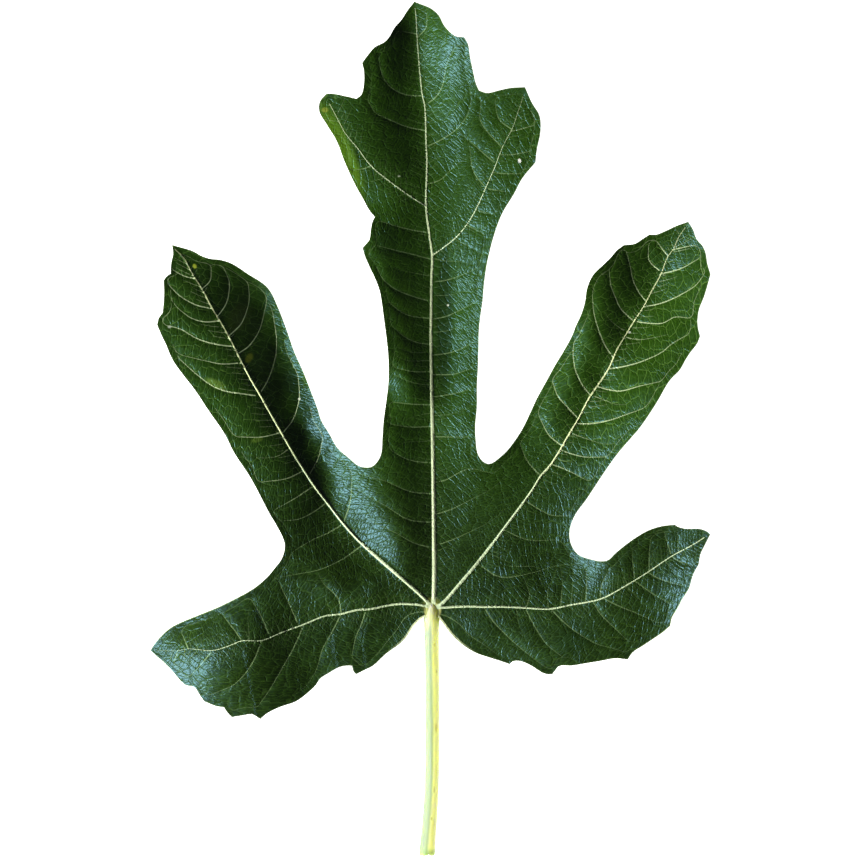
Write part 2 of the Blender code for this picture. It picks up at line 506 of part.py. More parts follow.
all_starts = np.vstack([margin, rib_starts, vein_starts])
all_ends = np.vstack([margin_ends, rib_ends, vein_ends])
for ring in range(8):
    turn = math.radians(22.5 + 45 * ring)
    free.append((0.96 * HUB_SPOT * math.cos(turn), 0.33 + 0.96 * HUB_SPOT * math.sin(turn)))
rows = int(250 / (FIELD_STEP * 0.866)) + 1
flank_count = len(free)
for row in range(rows):
    for column in range(int(200 / FIELD_STEP) + 1):
        free.append((-98 + (column + 0.5 * (row % 2)) * FIELD_STEP, -40 + row * FIELD_STEP * 0.866))
free = np.array(free)
clear = to_lines(free, all_starts, all_ends)[0]
good = inside(free, margin)
good[:flank_count] &= clear[:flank_count] > 0.5
good[flank_count:] &= clear[flank_count:] > 0.42 * FIELD_STEP
kept = []
for i in np.nonzero(good)[0]:
    limit = 0.55 if i < flank_count else 0.6 * FIELD_STEP
    if all(math.dist(free[i], free[k]) > limit for k in kept):
        kept.append(i)
places.extend(tuple(free[i]) for i in kept)

flat, _, triangles, _, _, _ = delaunay_2d_cdt(
    [Vector(p) for p in places], edges, [loop], 1, 0.0005)
flat = np.array([tuple(v) for v in flat])
centres = np.array([flat[list(t)].mean(axis=0) for t in triangles])
within = inside(centres, margin)
triangles = [t for t, ok in zip(triangles, within) if ok]
used = sorted({i for t in triangles for i in t})
renumber = {old: new for new, old in enumerate(used)}
flat = flat[used]
triangles = [tuple(renumber[i] for i in t) for t in triangles]

# Blade: heights of the upper and the lower face
spots, weights = drape_weights()
height = drape(flat, spots, weights)
step = 0.5
slope_x = (drape(flat + (step, 0), spots, weights) - drape(flat - (step, 0), spots, weights)) / (2 * step)
slope_y = (drape(flat + (0, step), spots, weights) - drape(flat - (0, step), spots, weights)) / (2 * step)
lean = np.sqrt(1.0 + slope_x ** 2 + slope_y ** 2)

rib_gap, rib_seg, rib_share = to_lines(flat, rib_starts, rib_ends)
vein_gap = to_lines(flat, vein_starts, vein_ends)[0]
margin_gap = to_lines(flat, margin, margin_ends)[0]
below = np.zeros(len(flat))
above = np.zeros(len(flat))
for number, rib in enumerate(RIBS):
    own = [i for i, n in enumerate(rib_of) if n == number]
    gap, seg, share = to_lines(flat, rib_starts[own], rib_ends[own])
    start = np.array([rib_from[i] for i in own])[seg]
    end = np.array([rib_to[i] for i in own])[seg]
    along = start + (end - start) * share
    half = rib[2] + (rib[3] - rib[2]) * along
    tent = np.clip(1.0 - gap / half, 0.0, 1.0)
    depth = rib[0] * (1.0 - along) ** 1.4 + rib[1] * (1.0 - (1.0 - along) ** 1.4)
    below = np.maximum(below, depth * tent)
    above = np.maximum(above, (0.16 + 0.12 * depth) * tent)
vein_tent = np.clip(1.0 - vein_gap / 0.9, 0.0, 1.0) * (rib_gap > 1.0)
below = np.maximum(below, VEIN_DEPTH * vein_tent)
line_gap = np.minimum(np.minimum(rib_gap, vein_gap), margin_gap + 0.8)
swell = QUILT * ease(line_gap / QUILT_REACH) - VEIN_GROOVE * vein_tent
top = height + swell + above
thick = (LAMINA + below) * lean + 0.05 * vein_tent

# The blade leans by a little about the hub until one low point on each side just touches
hub_gap = np.hypot(flat[:, 0], flat[:, 1] - 0.33)
hub_blend = 1.0 - ease((hub_gap - HUB_SPOT) / (HUB_REACH - HUB_SPOT))
left_zone = (flat[:, 0] < -30) & (flat[:, 1] > 40)
right_zone = (flat[:, 0] > 30) & (flat[:, 1] > 40)
for attempt in range(40):
    low = top - thick
    a = np.nonzero(left_zone)[0][np.argmin(low[left_zone])]
    b = np.nonzero(right_zone)[0][np.argmin(low[right_zone])]
    lift = np.linalg.solve(np.array([flat[a], flat[b]]), np.array([-low[a], -low[b]]))
    top = top + flat @ lift
low = top - thick
low = low * (1.0 - hub_blend)
low[hub_gap <= HUB_SPOT] = 0.0

count = len(flat)
verts = [(p[0], p[1], z) for p, z in zip(flat, top)] + [(p[0], p[1], z) for p, z in zip(flat, low)]
faces = []
rim = {}
for t in triangles:
    a, b, c = (flat[i] for i in t)
    if (b[0] - a[0]) * (c[1] - a[1]) - (b[1] - a[1]) * (c[0] - a[0]) < 0:
        t = (t[0], t[2], t[1])
    faces.append(t)
    faces.append((t[0] + count, t[2] + count, t[1] + count))
    for i, k in ((t[0], t[1]), (t[1], t[2]), (t[2], t[0])):
        if (k, i) in rim:
            del rim[(k, i)]
        else:
            rim[(i, k)] = True
for i, k in rim:
    faces.append((k, i, i + count))
    faces.append((k, i + count, k + count))
blade = add_object("blade", verts, faces, leaf_green)

# Stalk: a round stem that lies behind the hub, a little arched, with a slanted cut end
path = curve([(*sheet(x, y), z, r) for x, z, r, y in STALK], STALK_STEP)
path[:, 1] -= JOINT_GAP
ring_verts = []
for k, (x, y, z, r) in enumerate(path):
    ahead = path[min(k + 1, len(path) - 1), :3] - path[max(k - 1, 0), :3]
    turn_z = 0.0 if k == 0 else math.atan2(ahead[0], -ahead[1])
    for s in range(STALK_SIDES):
        a = 2 * math.pi * s / STALK_SIDES
        wave = 1.0 + 0.012 * math.cos(3 * a + 0.02 * k) + 0.008 * math.cos(5 * a)
        across = r * wave * math.cos(a)
        up = r * wave * math.sin(a)
        slant = 0.12 * up if k == len(path) - 1 else 0.0
        ring_verts.append((x + across * math.cos(turn_z), y + across * math.sin(turn_z) + slant, z + up))
stalk_faces = []
for k in range(len(path) - 1):
    for s in range(STALK_SIDES):
        a = k * STALK_SIDES + s
        b = k * STALK_SIDES + (s + 1) % STALK_SIDES
        stalk_faces.append((a, b, b + STALK_SIDES, a + STALK_SIDES))
stalk_faces.append(tuple(range(STALK_SIDES - 1, -1, -1)))
end = (len(path) - 1) * STALK_SIDES
stalk_faces.append(tuple(end + s for s in range(STALK_SIDES)))
petiole = add_object("petiole", ring_verts, stalk_faces, stalk_pale)
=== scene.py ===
import math

import bpy
import numpy as np
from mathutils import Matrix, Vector, kdtree
from mathutils.geometry import delaunay_2d_cdt


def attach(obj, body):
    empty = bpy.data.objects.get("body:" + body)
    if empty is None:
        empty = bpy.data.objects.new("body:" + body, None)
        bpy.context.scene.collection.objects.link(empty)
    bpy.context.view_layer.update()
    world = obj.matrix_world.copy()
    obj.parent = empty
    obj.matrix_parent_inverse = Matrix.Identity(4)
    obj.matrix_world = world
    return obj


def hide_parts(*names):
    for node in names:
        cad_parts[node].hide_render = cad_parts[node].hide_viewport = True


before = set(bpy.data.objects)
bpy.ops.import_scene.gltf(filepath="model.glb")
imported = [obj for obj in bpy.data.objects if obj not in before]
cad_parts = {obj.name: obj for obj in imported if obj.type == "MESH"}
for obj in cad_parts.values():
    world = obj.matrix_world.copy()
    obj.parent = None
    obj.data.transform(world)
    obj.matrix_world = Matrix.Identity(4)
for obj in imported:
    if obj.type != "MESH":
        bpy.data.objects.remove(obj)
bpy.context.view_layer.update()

# Lengths below are in millimetres where a line doesn't say metres; every mesh is made in metres.
bpy.ops.object.select_all(action="DESELECT")


# Camera: straight above the leaf that lies face up, far enough off that its high and low parts
# keep their places. The frame is 286.7 mm wide at the mean height of the blade, 7 mm.
bpy.ops.object.camera_add(location=(-0.00067, 0.0600, 1.5996), rotation=(0.0, 0.0, 0.0))
camera = bpy.context.object
camera.name = "camera"
camera.data.sensor_width = 36.0
camera.data.lens = 200.0
camera.data.clip_end = 50.0
bpy.context.scene.camera = camera


# Floor and light: a plain white table, with soft daylight from the left and a little from below. A
# bluish window makes the gloss, a lower one the light on the green, and a weak warm fill the rest.
def feed(tree, made, inputs):
    """Gives a node its plain values, and links what feeds it."""
    for key, value in inputs.items():
        if isinstance(value, bpy.types.NodeSocket):
            tree.links.new(value, made.inputs[key])
        else:
            made.inputs[key].default_value = value
    return made


def add(tree, kind, inputs=None, **settings):
    """One node with its settings and its inputs."""
    made = tree.nodes.new("ShaderNode" + kind)
    for name, value in settings.items():
        setattr(made, name, value)
    return feed(tree, made, inputs or {})


def skin(name):
    """A new material, its nodes and its surface."""
    made = bpy.data.materials.new(name)
    made.use_nodes = True
    return made, made.node_tree, made.node_tree.nodes["Principled BSDF"]


bpy.ops.mesh.primitive_plane_add(size=12.0, location=(0.0, 0.0, 0.0))
floor = bpy.context.object
floor.name = "floor"
table_white, tree, surface = skin("table_white")
feed(tree, surface, {"Base Color": (0.85, 0.85, 0.85, 1.0), "Roughness": 0.9, "Specular IOR Level": 0.0,
                     "Emission Color": (1.0, 1.0, 1.0, 1.0), "Emission Strength": 1.5})
floor.data.materials.append(table_white)
floor.visible_glossy = False

for name, spot, width, height, power, colour in (
        ("window", (-1.02, -0.36, 1.13), 0.6, 0.9, 24.0, (0.40, 0.77, 1.0)),
        ("low_window", (-1.40, -0.46, 0.55), 0.7, 0.5, 76.0, (1.0, 0.98, 0.92)),
        ("fill", (1.10, 0.30, 0.80), 0.9, 0.9, 0.3, (1.0, 0.95, 0.80))):
    aim = Vector((0.0, 0.06, 0.0)) - Vector(spot)
    bpy.ops.object.light_add(type="AREA", location=spot,
                             rotation=aim.to_track_quat("-Z", "Y").to_euler())
    lamp = bpy.context.object
    lamp.name = name
    lamp.data.shape = "RECTANGLE"
    lamp.data.size = width
    lamp.data.size_y = height
    lamp.data.energy = power
    lamp.data.color = colour
    lamp.visible_camera = False
    lamp.visible_glossy = name == "window"
    lamp.visible_diffuse = name != "window"

room = bpy.data.worlds.new("room")
room.use_nodes = True
bpy.context.scene.world = room
air = room.node_tree
for old in list(air.nodes):
    air.nodes.remove(old)
seen = add(air, "LightPath").outputs["Is Camera Ray"]
dim = add(air, "Background", {"Color": (0.9, 0.95, 1.0, 1.0), "Strength": 0.030})
pale = add(air, "Background", {"Color": (0.95, 0.97, 1.0, 1.0), "Strength": 0.9})
either = add(air, "MixShader", {0: seen, 1: dim.outputs[0], 2: pale.outputs[0]})
add(air, "OutputWorld", {"Surface": either.outputs[0]})
bpy.context.scene.view_settings.view_transform = "Standard"
bpy.context.scene.view_settings.look = "None"


# Outline of the blade: five lobes that are toothed towards their tips, one grown edge all round,
# read in steps of a third of a millimetre from the hub at (432, 610).
# Clockwise from the left of the stalk; a third value of 1 marks a sharp tooth or notch.
MARGIN = [
    (424, 617.2, 1), (419.6, 620), (413, 627), (408, 635), (401, 643), (386, 654), (373, 666), (365, 670),
    (356, 674.5, 1), (353, 671), (352, 666, 1), (348, 665.7), (340, 667), (329, 673), (320, 679),
    (316, 685), (310, 691), (296, 701.5), (280, 707), (267.6, 713), (260.5, 719, 1), (252, 714),
    (244.6, 715), (232, 717, 1), (228, 713), (224, 707, 1), (216.5, 706), (204, 701, 1), (200, 695),
    (194, 686.5), (187, 685.6), (182, 682.4), (177, 677), (172, 671), (164, 663), (156.6, 657),
    (149.6, 651, 1), (153, 645.5), (160.4, 636.5), (170.6, 627.6), (184.6, 620.6), (201, 614),
    (218, 607), (239.5, 596.4), (255, 587.4), (267.6, 576.6), (275, 567.7), (281, 560), (284, 552.6),
    (285, 545), (283.4, 538.6), (277.7, 527), (270, 514), (251, 478), (234, 452), (225, 434),
    (208.5, 410), (196, 391), (184.4, 376), (173, 360), (167, 346), (161.5, 334.5), (157.5, 325, 1),
    (159, 318.4), (163, 313, 1), (163.8, 304.6), (164.3, 294), (163.8, 280.5, 1), (167, 276),
    (170.7, 273.6, 1), (171.2, 262), (173, 254), (171.8, 244.7, 1), (178.7, 246.6), (192.5, 250.7),
    (201.7, 255.8), (210.8, 258.7), (219, 259.3), (230.4, 262.7), (239.5, 268), (247.6, 273.6),
    (259, 280.5), (266, 286), (271.7, 294), (276, 303.5), (282, 318), (288, 334.5), (293.5, 350.5),
    (302.7, 371), (310.7, 391), (317.6, 409), (321, 420), (328.7, 432.7), (337.6, 448), (349, 458),
    (359, 466), (371, 467), (377, 462), (381, 454.5), (382.5, 436), (383.5, 421), (386, 402),
    (388, 385.5), (388.6, 372), (388, 354), (386.6, 340), (384, 320), (382, 305), (379.6, 291),
    (375, 278.6), (369, 266), (364.5, 255.4), (362.6, 248, 1), (365.4, 244.6), (369.4, 240),
    (370.7, 230), (372.5, 221.4), (374.7, 217, 1), (369, 210), (363.6, 200), (354.7, 184),
    (344.8, 162.5), (336.5, 141), (326.5, 124.4), (319, 111), (320, 101), (326.5, 93.7, 1), (333, 93.7),
    (344.8, 96), (356.4, 98.7, 1), (361.4, 94.5), (363.8, 84.6), (363.8, 71), (362, 63, 1), (368, 54.7),
    (374.6, 47), (384.6, 41.5), (389.5, 35.7), (394.5, 26.5), (401, 19), (407.8, 8.3), (414.4, 0, 1),
    (422, 3.3), (431, 7.5), (439, 15), (444, 25), (451, 33), (456, 36.5), (464, 37.3, 1), (468, 44),
    (470, 56.4), (473, 71), (475.8, 83), (479, 90.4, 1), (487, 93), (499, 90.4), (510.6, 88),
    (525, 87.3, 1), (532, 103), (539.6, 116), (540.4, 132.7), (537, 149), (535.5, 162.5, 1), (522, 179),
    (514, 194), (502, 214), (494, 235.5), (488.4, 257), (486, 269.6), (484, 285), (482.8, 300),
    (480.5, 316), (479, 330), (478.6, 349), (478, 368), (477, 387), (477, 406.5), (475.3, 425.7),
    (475.8, 440), (477.7, 453.4), (482.5, 461), (488.5, 464), (494, 462), (498.4, 458.6),
    (506.5, 451.4), (514.7, 441), (523, 428), (529, 415.7), (537, 398.4), (546, 382), (555.5, 364.7),
    (564.7, 349.4), (572, 336), (576.3, 325), (581.4, 314), (585, 302), (587, 288.6), (591.6, 277),
    (595.7, 271.7), (604, 264), (611, 257), (617, 250), (624, 244.7, 1), (635.5, 243.2), (642.7, 238.6),
    (650, 234, 1), (657, 234), (666, 230.4), (677, 225.3), (688.8, 221.2, 1), (693.7, 229.4),
    (697, 238.6), (703, 245.7), (706, 253), (707.4, 263), (710.5, 274.3, 1), (708, 283.5), (704, 296.7),
    (698.8, 310), (697.2, 321, 1), (697.8, 328.4), (699.6, 336.5, 1), (696.7, 343.7), (689.6, 353),
    (684.5, 361), (679.4, 370), (669, 381), (656, 403), (640, 427), (629, 440), (620, 450.4),
    (611.6, 461.6), (602.4, 475), (593.3, 489), (586, 500), (576.4, 513), (572, 522), (569.7, 531.5),
    (570.3, 541), (574, 549.7), (580, 555.7), (591, 559.4), (600.6, 561.2), (608, 560), (615, 553.3),
    (625, 545), (637, 536.4), (649, 529.7), (662.4, 525.7), (674.5, 524.5, 1), (678, 526.7),
    (685.4, 528.5), (698.7, 528.5), (707, 531.5), (709.6, 534, 1), (703.6, 546), (700, 553.3),
    (698, 564, 1), (692.7, 574), (689.6, 585, 1), (687.8, 589.7), (681.8, 599.4), (677, 609),
    (672, 617.5), (670.3, 626, 1), (663.6, 632), (655, 638), (644, 645.4), (633, 652.7), (628, 660, 1),
    (623.6, 659.3), (615, 658.7), (600.6, 661.2), (586, 663.6), (570.5, 666), (562, 665.6),
    (558, 667.2, 1), (552.5, 674.5, 1), (547, 674.6), (541.5, 672.5), (533, 667), (524, 662.5),
    (516.7, 661), (512.4, 662, 1), (509.7, 664.6, 1), (500.5, 661.4), (488.5, 657.6), (475.5, 653),
    (463.6, 645.7), (451.7, 635), (444, 625), (438, 617.2, 1),
]


def sheet(x, y):
    """A place on the drawing sheet, in millimetres from the hub."""
    return ((x - 432.0) / 3.0, (610.0 - y) / 3.0)


def curve(points, step):
    """Even steps along a smooth curve through the points, with both ends kept."""
    pts = np.array(points, dtype=float)
    if len(pts) > 2:
        first = 2 * pts[0] - pts[1]
        last = 2 * pts[-1] - pts[-2]
        ext = np.vstack([first, pts, last])
        fine = [pts[0]]
        for i in range(1, len(ext) - 2):
            p0, p1, p2, p3 = ext[i - 1], ext[i], ext[i + 1], ext[i + 2]
            t1 = max(np.linalg.norm(p1 - p0), 1e-6) ** 0.5
            t2 = t1 + max(np.linalg.norm(p2 - p1), 1e-6) ** 0.5
            t3 = t2 + max(np.linalg.norm(p3 - p2), 1e-6) ** 0.5
            for t in np.linspace(t1, t2, 9)[1:]:
                a1 = p0 * (t1 - t) / t1 + p1 * t / t1
                a2 = p1 * (t2 - t) / (t2 - t1) + p2 * (t - t1) / (t2 - t1)
                a3 = p2 * (t3 - t) / (t3 - t2) + p3 * (t - t2) / (t3 - t2)
                b1 = a1 * (t2 - t) / t2 + a2 * t / t2
                b2 = a2 * (t3 - t) / (t3 - t1) + a3 * (t - t1) / (t3 - t1)
                fine.append(b1 * (t2 - t) / (t2 - t1) + b2 * (t - t1) / (t2 - t1))
        pts = np.array(fine)
    length = np.concatenate([[0.0], np.cumsum(np.linalg.norm(np.diff(pts, axis=0), axis=1))])
    count = max(1, int(round(length[-1] / step)))
    marks = np.linspace(0.0, length[-1], count + 1)
    return np.column_stack([np.interp(marks, length, pts[:, k]) for k in range(pts.shape[1])])


outline, run = [], []
for entry in MARGIN:
    run.append(sheet(entry[0], entry[1]))
    if len(entry) == 3 and len(run) > 1:
        outline.extend(curve(run, 1.1)[:-1])
        run = [run[-1]]
outline.extend(curve([sheet(438, 617.2), sheet(424, 617.2)], 0.8)[:-1])
outline = np.array(outline)


# Ribs: the five main ribs, two forks of the middle one and two fans at the base, pale and woody,
# a low round ridge above and a deep keel below.
# Depth below at the root and at the tip, half width at the root and at the tip, then the line.
RIBS = [
    (3.0, 0.5, 1.7, 0.8, [
        (432, 609), (433.5, 602), (433.2, 480), (432, 416), (431.3, 378), (430.8, 335), (431, 316),
        (431.4, 280), (432, 255.4), (428.8, 231), (426, 206), (426.8, 166), (426, 144), (424.7, 106),
        (422, 93), (419, 63), (417, 36.5), (416, 16.6), (414.8, 6)]),
    (2.6, 0.5, 1.6, 0.8, [
        (432, 609), (426.3, 601), (408, 584), (380, 560), (359, 541), (342.7, 523), (331, 508),
        (317, 490), (305.7, 473.5), (293, 453), (281.5, 433), (269, 411), (260, 395), (250, 378),
        (240.7, 360), (229, 337), (220, 321), (212, 308), (201.7, 288.5), (193.6, 276), (183.3, 257.6),
        (174.5, 249)]),
    (2.6, 0.5, 1.6, 0.8, [
        (432, 609), (441, 604.5), (462.5, 580.6), (479, 561), (506, 526), (533, 489), (541, 476),
        (551.4, 464), (560.6, 449.4), (570, 433), (578, 420), (590, 397), (597.3, 386), (608.6, 369),
        (617, 350), (626.3, 334.5), (634.5, 321), (643.7, 307), (654, 287.6), (662, 273), (668, 257),
        (674.3, 248), (679.4, 236.5), (686.6, 226)]),
    (2.3, 0.5, 1.5, 0.8, [
        (432, 609), (424.4, 606), (405, 604), (391, 605), (371, 609), (357, 610), (341, 614),
        (325, 616), (304.5, 624), (280, 633), (262.4, 640), (242, 640.4), (229, 645.5), (212.7, 650),
        (188.5, 648.6), (178, 650.6), (156, 651)]),
    (2.3, 0.5, 1.5, 0.8, [
        (432, 609), (442, 608), (466, 606.6), (484, 607), (506, 607), (525.4, 608), (550.5, 609),
        (571, 605), (587, 602.3), (603, 598), (625, 586), (646.6, 572.7), (671, 556.3), (691.5, 545),
        (704, 537)]),
    (1.2, 0.5, 1.0, 0.8, [
        (426, 206), (416, 200), (393, 184), (371, 166), (358, 149), (345, 133), (336, 116), (329, 103)]),
    (1.2, 0.5, 1.0, 0.8, [
        (432, 255.4), (454, 239), (466, 225.5), (476, 209), (486, 187), (494, 169), (503, 146),
        (512, 129), (519, 109), (523.4, 96)]),
    (1.0, 0.4, 1.0, 0.8, [
        (432, 609), (424, 612), (416, 612.6), (406, 617), (396, 631), (386, 643), (376.5, 656)]),
    (1.0, 0.4, 1.0, 0.8, [
        (432, 609), (440, 614), (449.5, 618), (460, 625), (469, 635), (482, 643.5), (499, 656)]),
]

# Half width and height of each pale ridge above, at the root and at the tip.
RIDGES = [(0.76, 0.13, 0.28, 0.08), (0.56, 0.16, 0.44, 0.26), (0.55, 0.10, 0.32, 0.10),
          (0.40, 0.05, 0.28, 0.08), (0.38, 0.12, 0.28, 0.08), (0.20, 0.08, 0.16, 0.08),
          (0.17, 0.07, 0.16, 0.08), (0.12, 0.08, 0.0, 0.0), (0.12, 0.08, 0.0, 0.0)]

STEP = 0.1          # between two marks along a rib or a vein
rib_lines = [curve([sheet(x, y) for x, y in rib[4]], STEP) for rib in RIBS]
long_ribs, fans = rib_lines[:7], rib_lines[7:]


# Side veins: each leaves its rib towards the margin, where it loops into the next. Above they
# lie in a shallow groove, below they stand out. The shorter ones between them come after.
VEINS = [
    # left upper lobe, outer half from the tip down
    [(195, 279), (184, 276), (173, 270)], [(212, 309), (196, 305), (180, 296), (169, 285)],
    [(220, 321), (205, 322), (191, 318), (182, 311.5)],
    [(232.7, 347), (214, 344), (198, 339), (180, 329), (168, 326)], [(242, 363), (221, 364), (206, 361)],
    [(259, 396.5), (243, 394), (225, 391), (211, 385), (196, 373.5), (182, 361)],
    [(280, 433), (262, 437), (240, 437)], [(302, 471.6), (286.6, 478.6), (262, 482)],
    [(312, 487), (295.5, 498), (276, 509)], [(325, 504), (312, 513), (299, 519), (284, 520.7)],
    [(342, 525), (327, 533.5), (312, 540), (295.5, 550)],
    [(362, 545.6), (341, 560), (318, 570), (296, 574)],
    # left upper lobe, inner half
    [(203, 288.5), (210, 280.5), (211, 268)],
    [(219, 315.5), (226, 303.5), (228.6, 292), (228.6, 280.5), (224, 269)],
    [(229, 336), (240.7, 324), (246.4, 310), (248.7, 299), (248, 286)],
    [(239.5, 353), (248.7, 346), (259, 330), (265, 306)],
    [(261, 393), (269, 377), (275, 356), (276, 339), (273, 317)],
    [(283, 433), (293, 419), (299, 398), (298, 378)], [(308, 477), (318, 458), (322, 442)],
    [(343, 524), (350, 502), (352, 478)],
    # middle lobe, left half, from the crease at the notch down
    [(428, 232.6), (410, 229.5), (394, 225.4), (381, 221.4)],
    [(430.5, 259), (413.6, 254.5), (394, 250), (378, 246)],
    [(429, 301), (412, 296), (395, 289), (383, 279), (376, 266)],
    [(429, 318), (413.6, 316.5), (402, 312.5), (391, 304)],
    [(429.5, 344.4), (417, 342.4), (405, 337), (394, 328)], [(429.5, 371.6), (413.6, 371.6), (396, 368)],
    [(430, 405), (410, 404), (393, 402)], [(430, 426.6), (410, 427), (390, 424)],
    [(430.8, 462.5), (419, 462), (406, 458.7), (393.5, 452)], [(430.7, 494), (410, 491.4), (388, 482)],
    [(431, 522.6), (408, 519.4), (386, 506)], [(432, 548), (414, 543), (398, 534)],
    # middle lobe, right half
    [(433, 282), (446, 280), (456, 277), (471, 271)], [(432.8, 319), (445, 316.5), (458, 311), (473, 303)],
    [(433, 355), (446, 353.4), (458, 350), (471, 344)], [(433, 374.5), (454, 374), (470, 369)],
    [(433.7, 397), (452, 394), (468, 390)], [(434.6, 436.7), (450, 437), (467, 437)],
    [(435.8, 482.4), (446, 480), (457.5, 473.5), (470, 469), (490, 473)],
    [(434, 515), (452, 509), (476, 497)], [(434, 546), (452, 540), (474, 530)],
    # head of the middle lobe
    [(416.5, 33), (401, 30)], [(422, 95), (408, 94.5), (394.5, 89.5), (384.6, 79.6), (380, 66), (379, 53)],
    [(423.5, 130), (406, 126), (389.5, 119.4), (376, 113), (369, 103)],
    [(417.7, 36.5), (426, 26.5), (427, 15)], [(425, 104.5), (436, 96), (442.6, 84.6), (446, 66), (452, 52)],
    [(427.7, 146), (444, 137.6), (457.5, 127.7), (467.5, 114.4), (471, 101)],
    [(427.7, 184), (441, 179), (452, 168)], [(371, 166), (363, 169), (353, 170)],
    [(485, 187), (476, 176), (472, 166), (470, 150)], [(496, 164), (481, 151), (466, 137.6)],
    [(502, 147.6), (487, 131), (480, 119), (481, 104)], [(510.6, 129), (499, 119), (495, 103)],
    [(467.5, 225.5), (482, 233)], [(476, 210), (490, 214)], [(487, 189), (506, 192)],
    [(496, 174), (519, 174)], [(505.6, 156.7), (529, 151.7)], [(512, 132), (532, 126)],
    # right upper lobe, outer half from the tip down
    [(673, 249), (694, 245)], [(662.6, 273.5), (682, 268), (698, 259)],
    [(644, 306.7), (660, 303.4), (672, 299), (682, 294), (696, 285), (703, 276)],
    [(635.5, 321), (649, 323), (663, 323), (675, 317), (688, 318)],
    [(609, 369), (626, 366), (643, 361), (662, 352), (672, 343.7), (683.5, 337)],
    [(598.4, 387), (610.6, 390), (621, 391), (640, 386), (658, 382)],
    [(578, 424.4), (594, 423.4), (610.6, 420), (623, 415.7), (640, 409.6)],
    [(561, 450.4), (572, 454), (585, 457), (603.5, 457)], [(552.4, 464.7), (566.7, 470), (586, 480)],
    [(526.6, 502), (550.6, 515), (566, 516)], [(504, 530), (528, 540), (556, 540)],
    [(478, 564), (500, 577), (528, 574), (556, 566)],
    # right upper lobe, inner half
    [(667.7, 255), (658, 241.6)], [(660.5, 271), (650, 260), (649, 247)],
    [(645, 300), (638.6, 290.6), (633.5, 279.4), (631, 267), (627, 252)],
    [(633, 320), (621, 308), (615.6, 296.7), (611, 284.5), (609.5, 271)],
    [(612.6, 357), (604, 342.7), (598, 327), (594, 312), (592.7, 297)],
    [(590, 395), (582, 384), (576, 371), (573.4, 355.5), (574, 344)],
    [(577.4, 418), (568, 407.6), (558, 396), (553, 382)], [(560.6, 445), (549, 435), (540, 418)],
    [(541, 476), (528, 462), (521, 446)],
    # left lower lobe, lower half from the stalk outwards
    [(366, 611), (361, 625), (356, 636.5), (352, 655)], [(341, 614), (332.5, 631), (323, 648), (318, 665)],
    [(304, 625), (293, 649), (280, 672), (270, 689), (260, 703.5)],
    [(262, 640), (256, 656), (250, 667), (242, 677), (233, 685), (221.6, 690)],
    [(212.7, 650.6), (204, 661), (195, 671)], [(178, 652), (174, 662)],
    # left lower lobe, upper half
    [(341, 611.7), (338, 598), (326, 586)], [(297.5, 622.5), (289, 603), (280, 584)],
    [(269, 634), (261, 615), (252, 600)], [(242, 639), (232, 626), (223, 615)], [(188.5, 648), (182, 634)],
    # right lower lobe, lower half from the stalk outwards
    [(484, 608), (492, 620), (505, 634), (518, 646), (531, 656.5), (540.6, 664)],
    [(525.4, 609), (535, 627), (547, 644.6), (561, 656)],
    [(551, 609.5), (565.4, 623.6), (580, 634.5), (597, 644), (612.7, 648.4)],
    [(593, 602), (600.6, 614), (615, 628.4), (627, 640)],
    [(603.6, 599), (619, 606), (639.4, 614.5), (656, 622)], [(634.5, 581), (651.5, 593), (669, 603)],
    [(648, 573), (661, 579.4), (680, 585)], [(671.5, 557), (680.6, 562), (690, 565)],
    # right lower lobe, upper half
    [(526.5, 608), (529.7, 594), (527, 586)], [(560.6, 606.6), (562.4, 586)],
    [(585.4, 602), (586.7, 586), (586, 570)], [(599.4, 597), (602, 583.6), (608, 571.5)],
    [(634.5, 580), (632, 556)], [(649, 571.5), (649, 558), (650, 542)],
    [(671, 556), (667, 542.4), (664, 532)],
]
LESSER = [
    [(289, 449), (278, 456), (270, 457.6)], [(429.6, 276), (415, 273), (404, 271)],
    [(430, 351.5), (413.6, 352.5), (398, 347.7)], [(429.5, 360.6), (408, 360.6), (398, 357)],
    [(429.5, 385), (417, 383.6), (403, 379), (393, 374)], [(430, 413), (417, 415.6)],
    [(430.8, 441), (408, 442)], [(434, 258), (446, 260.7), (461, 261.6), (469, 263.4)],
    [(433, 295.5), (447.5, 295), (459, 293)], [(432.8, 332), (445, 331), (456, 328.6), (467, 330.4)],
    [(434, 415.6), (446, 414.7), (459.5, 412)], [(456, 240), (474, 249)],
    [(627, 337.6), (639.6, 339.6), (654, 337.6)], [(593, 396), (602, 399), (611.6, 403)],
    [(571, 433), (587, 439), (599.4, 443)], [(625, 331), (614, 323)], [(486, 552), (510, 563)],
    [(491, 574), (500.5, 580.6)], [(511, 566.5), (539.5, 568.7), (540.6, 578.4)],
    [(250, 636.5), (248.4, 621)], [(516, 609), (519, 625)], [(548, 607), (548.3, 590), (554.7, 575)],
    [(571, 604), (572.7, 585), (573.3, 570)], [(626.6, 586.6), (639.4, 600)],
    [(626.6, 583.6), (622.4, 574)], [(665, 561), (672, 570)], [(690, 545.4), (698.7, 551)],
    [(678, 551), (677, 530)],
]


def nearest(points, marks):
    """For each point, the distance to the nearest mark and that mark's number."""
    tree = kdtree.KDTree(len(marks))
    for i, (x, y) in enumerate(marks):
        tree.insert((x, y, 0.0), i)
    tree.balance()
    found = [tree.find((x, y, 0.0)) for x, y in points]
    return np.array([f[2] for f in found]), np.array([f[1] for f in found])


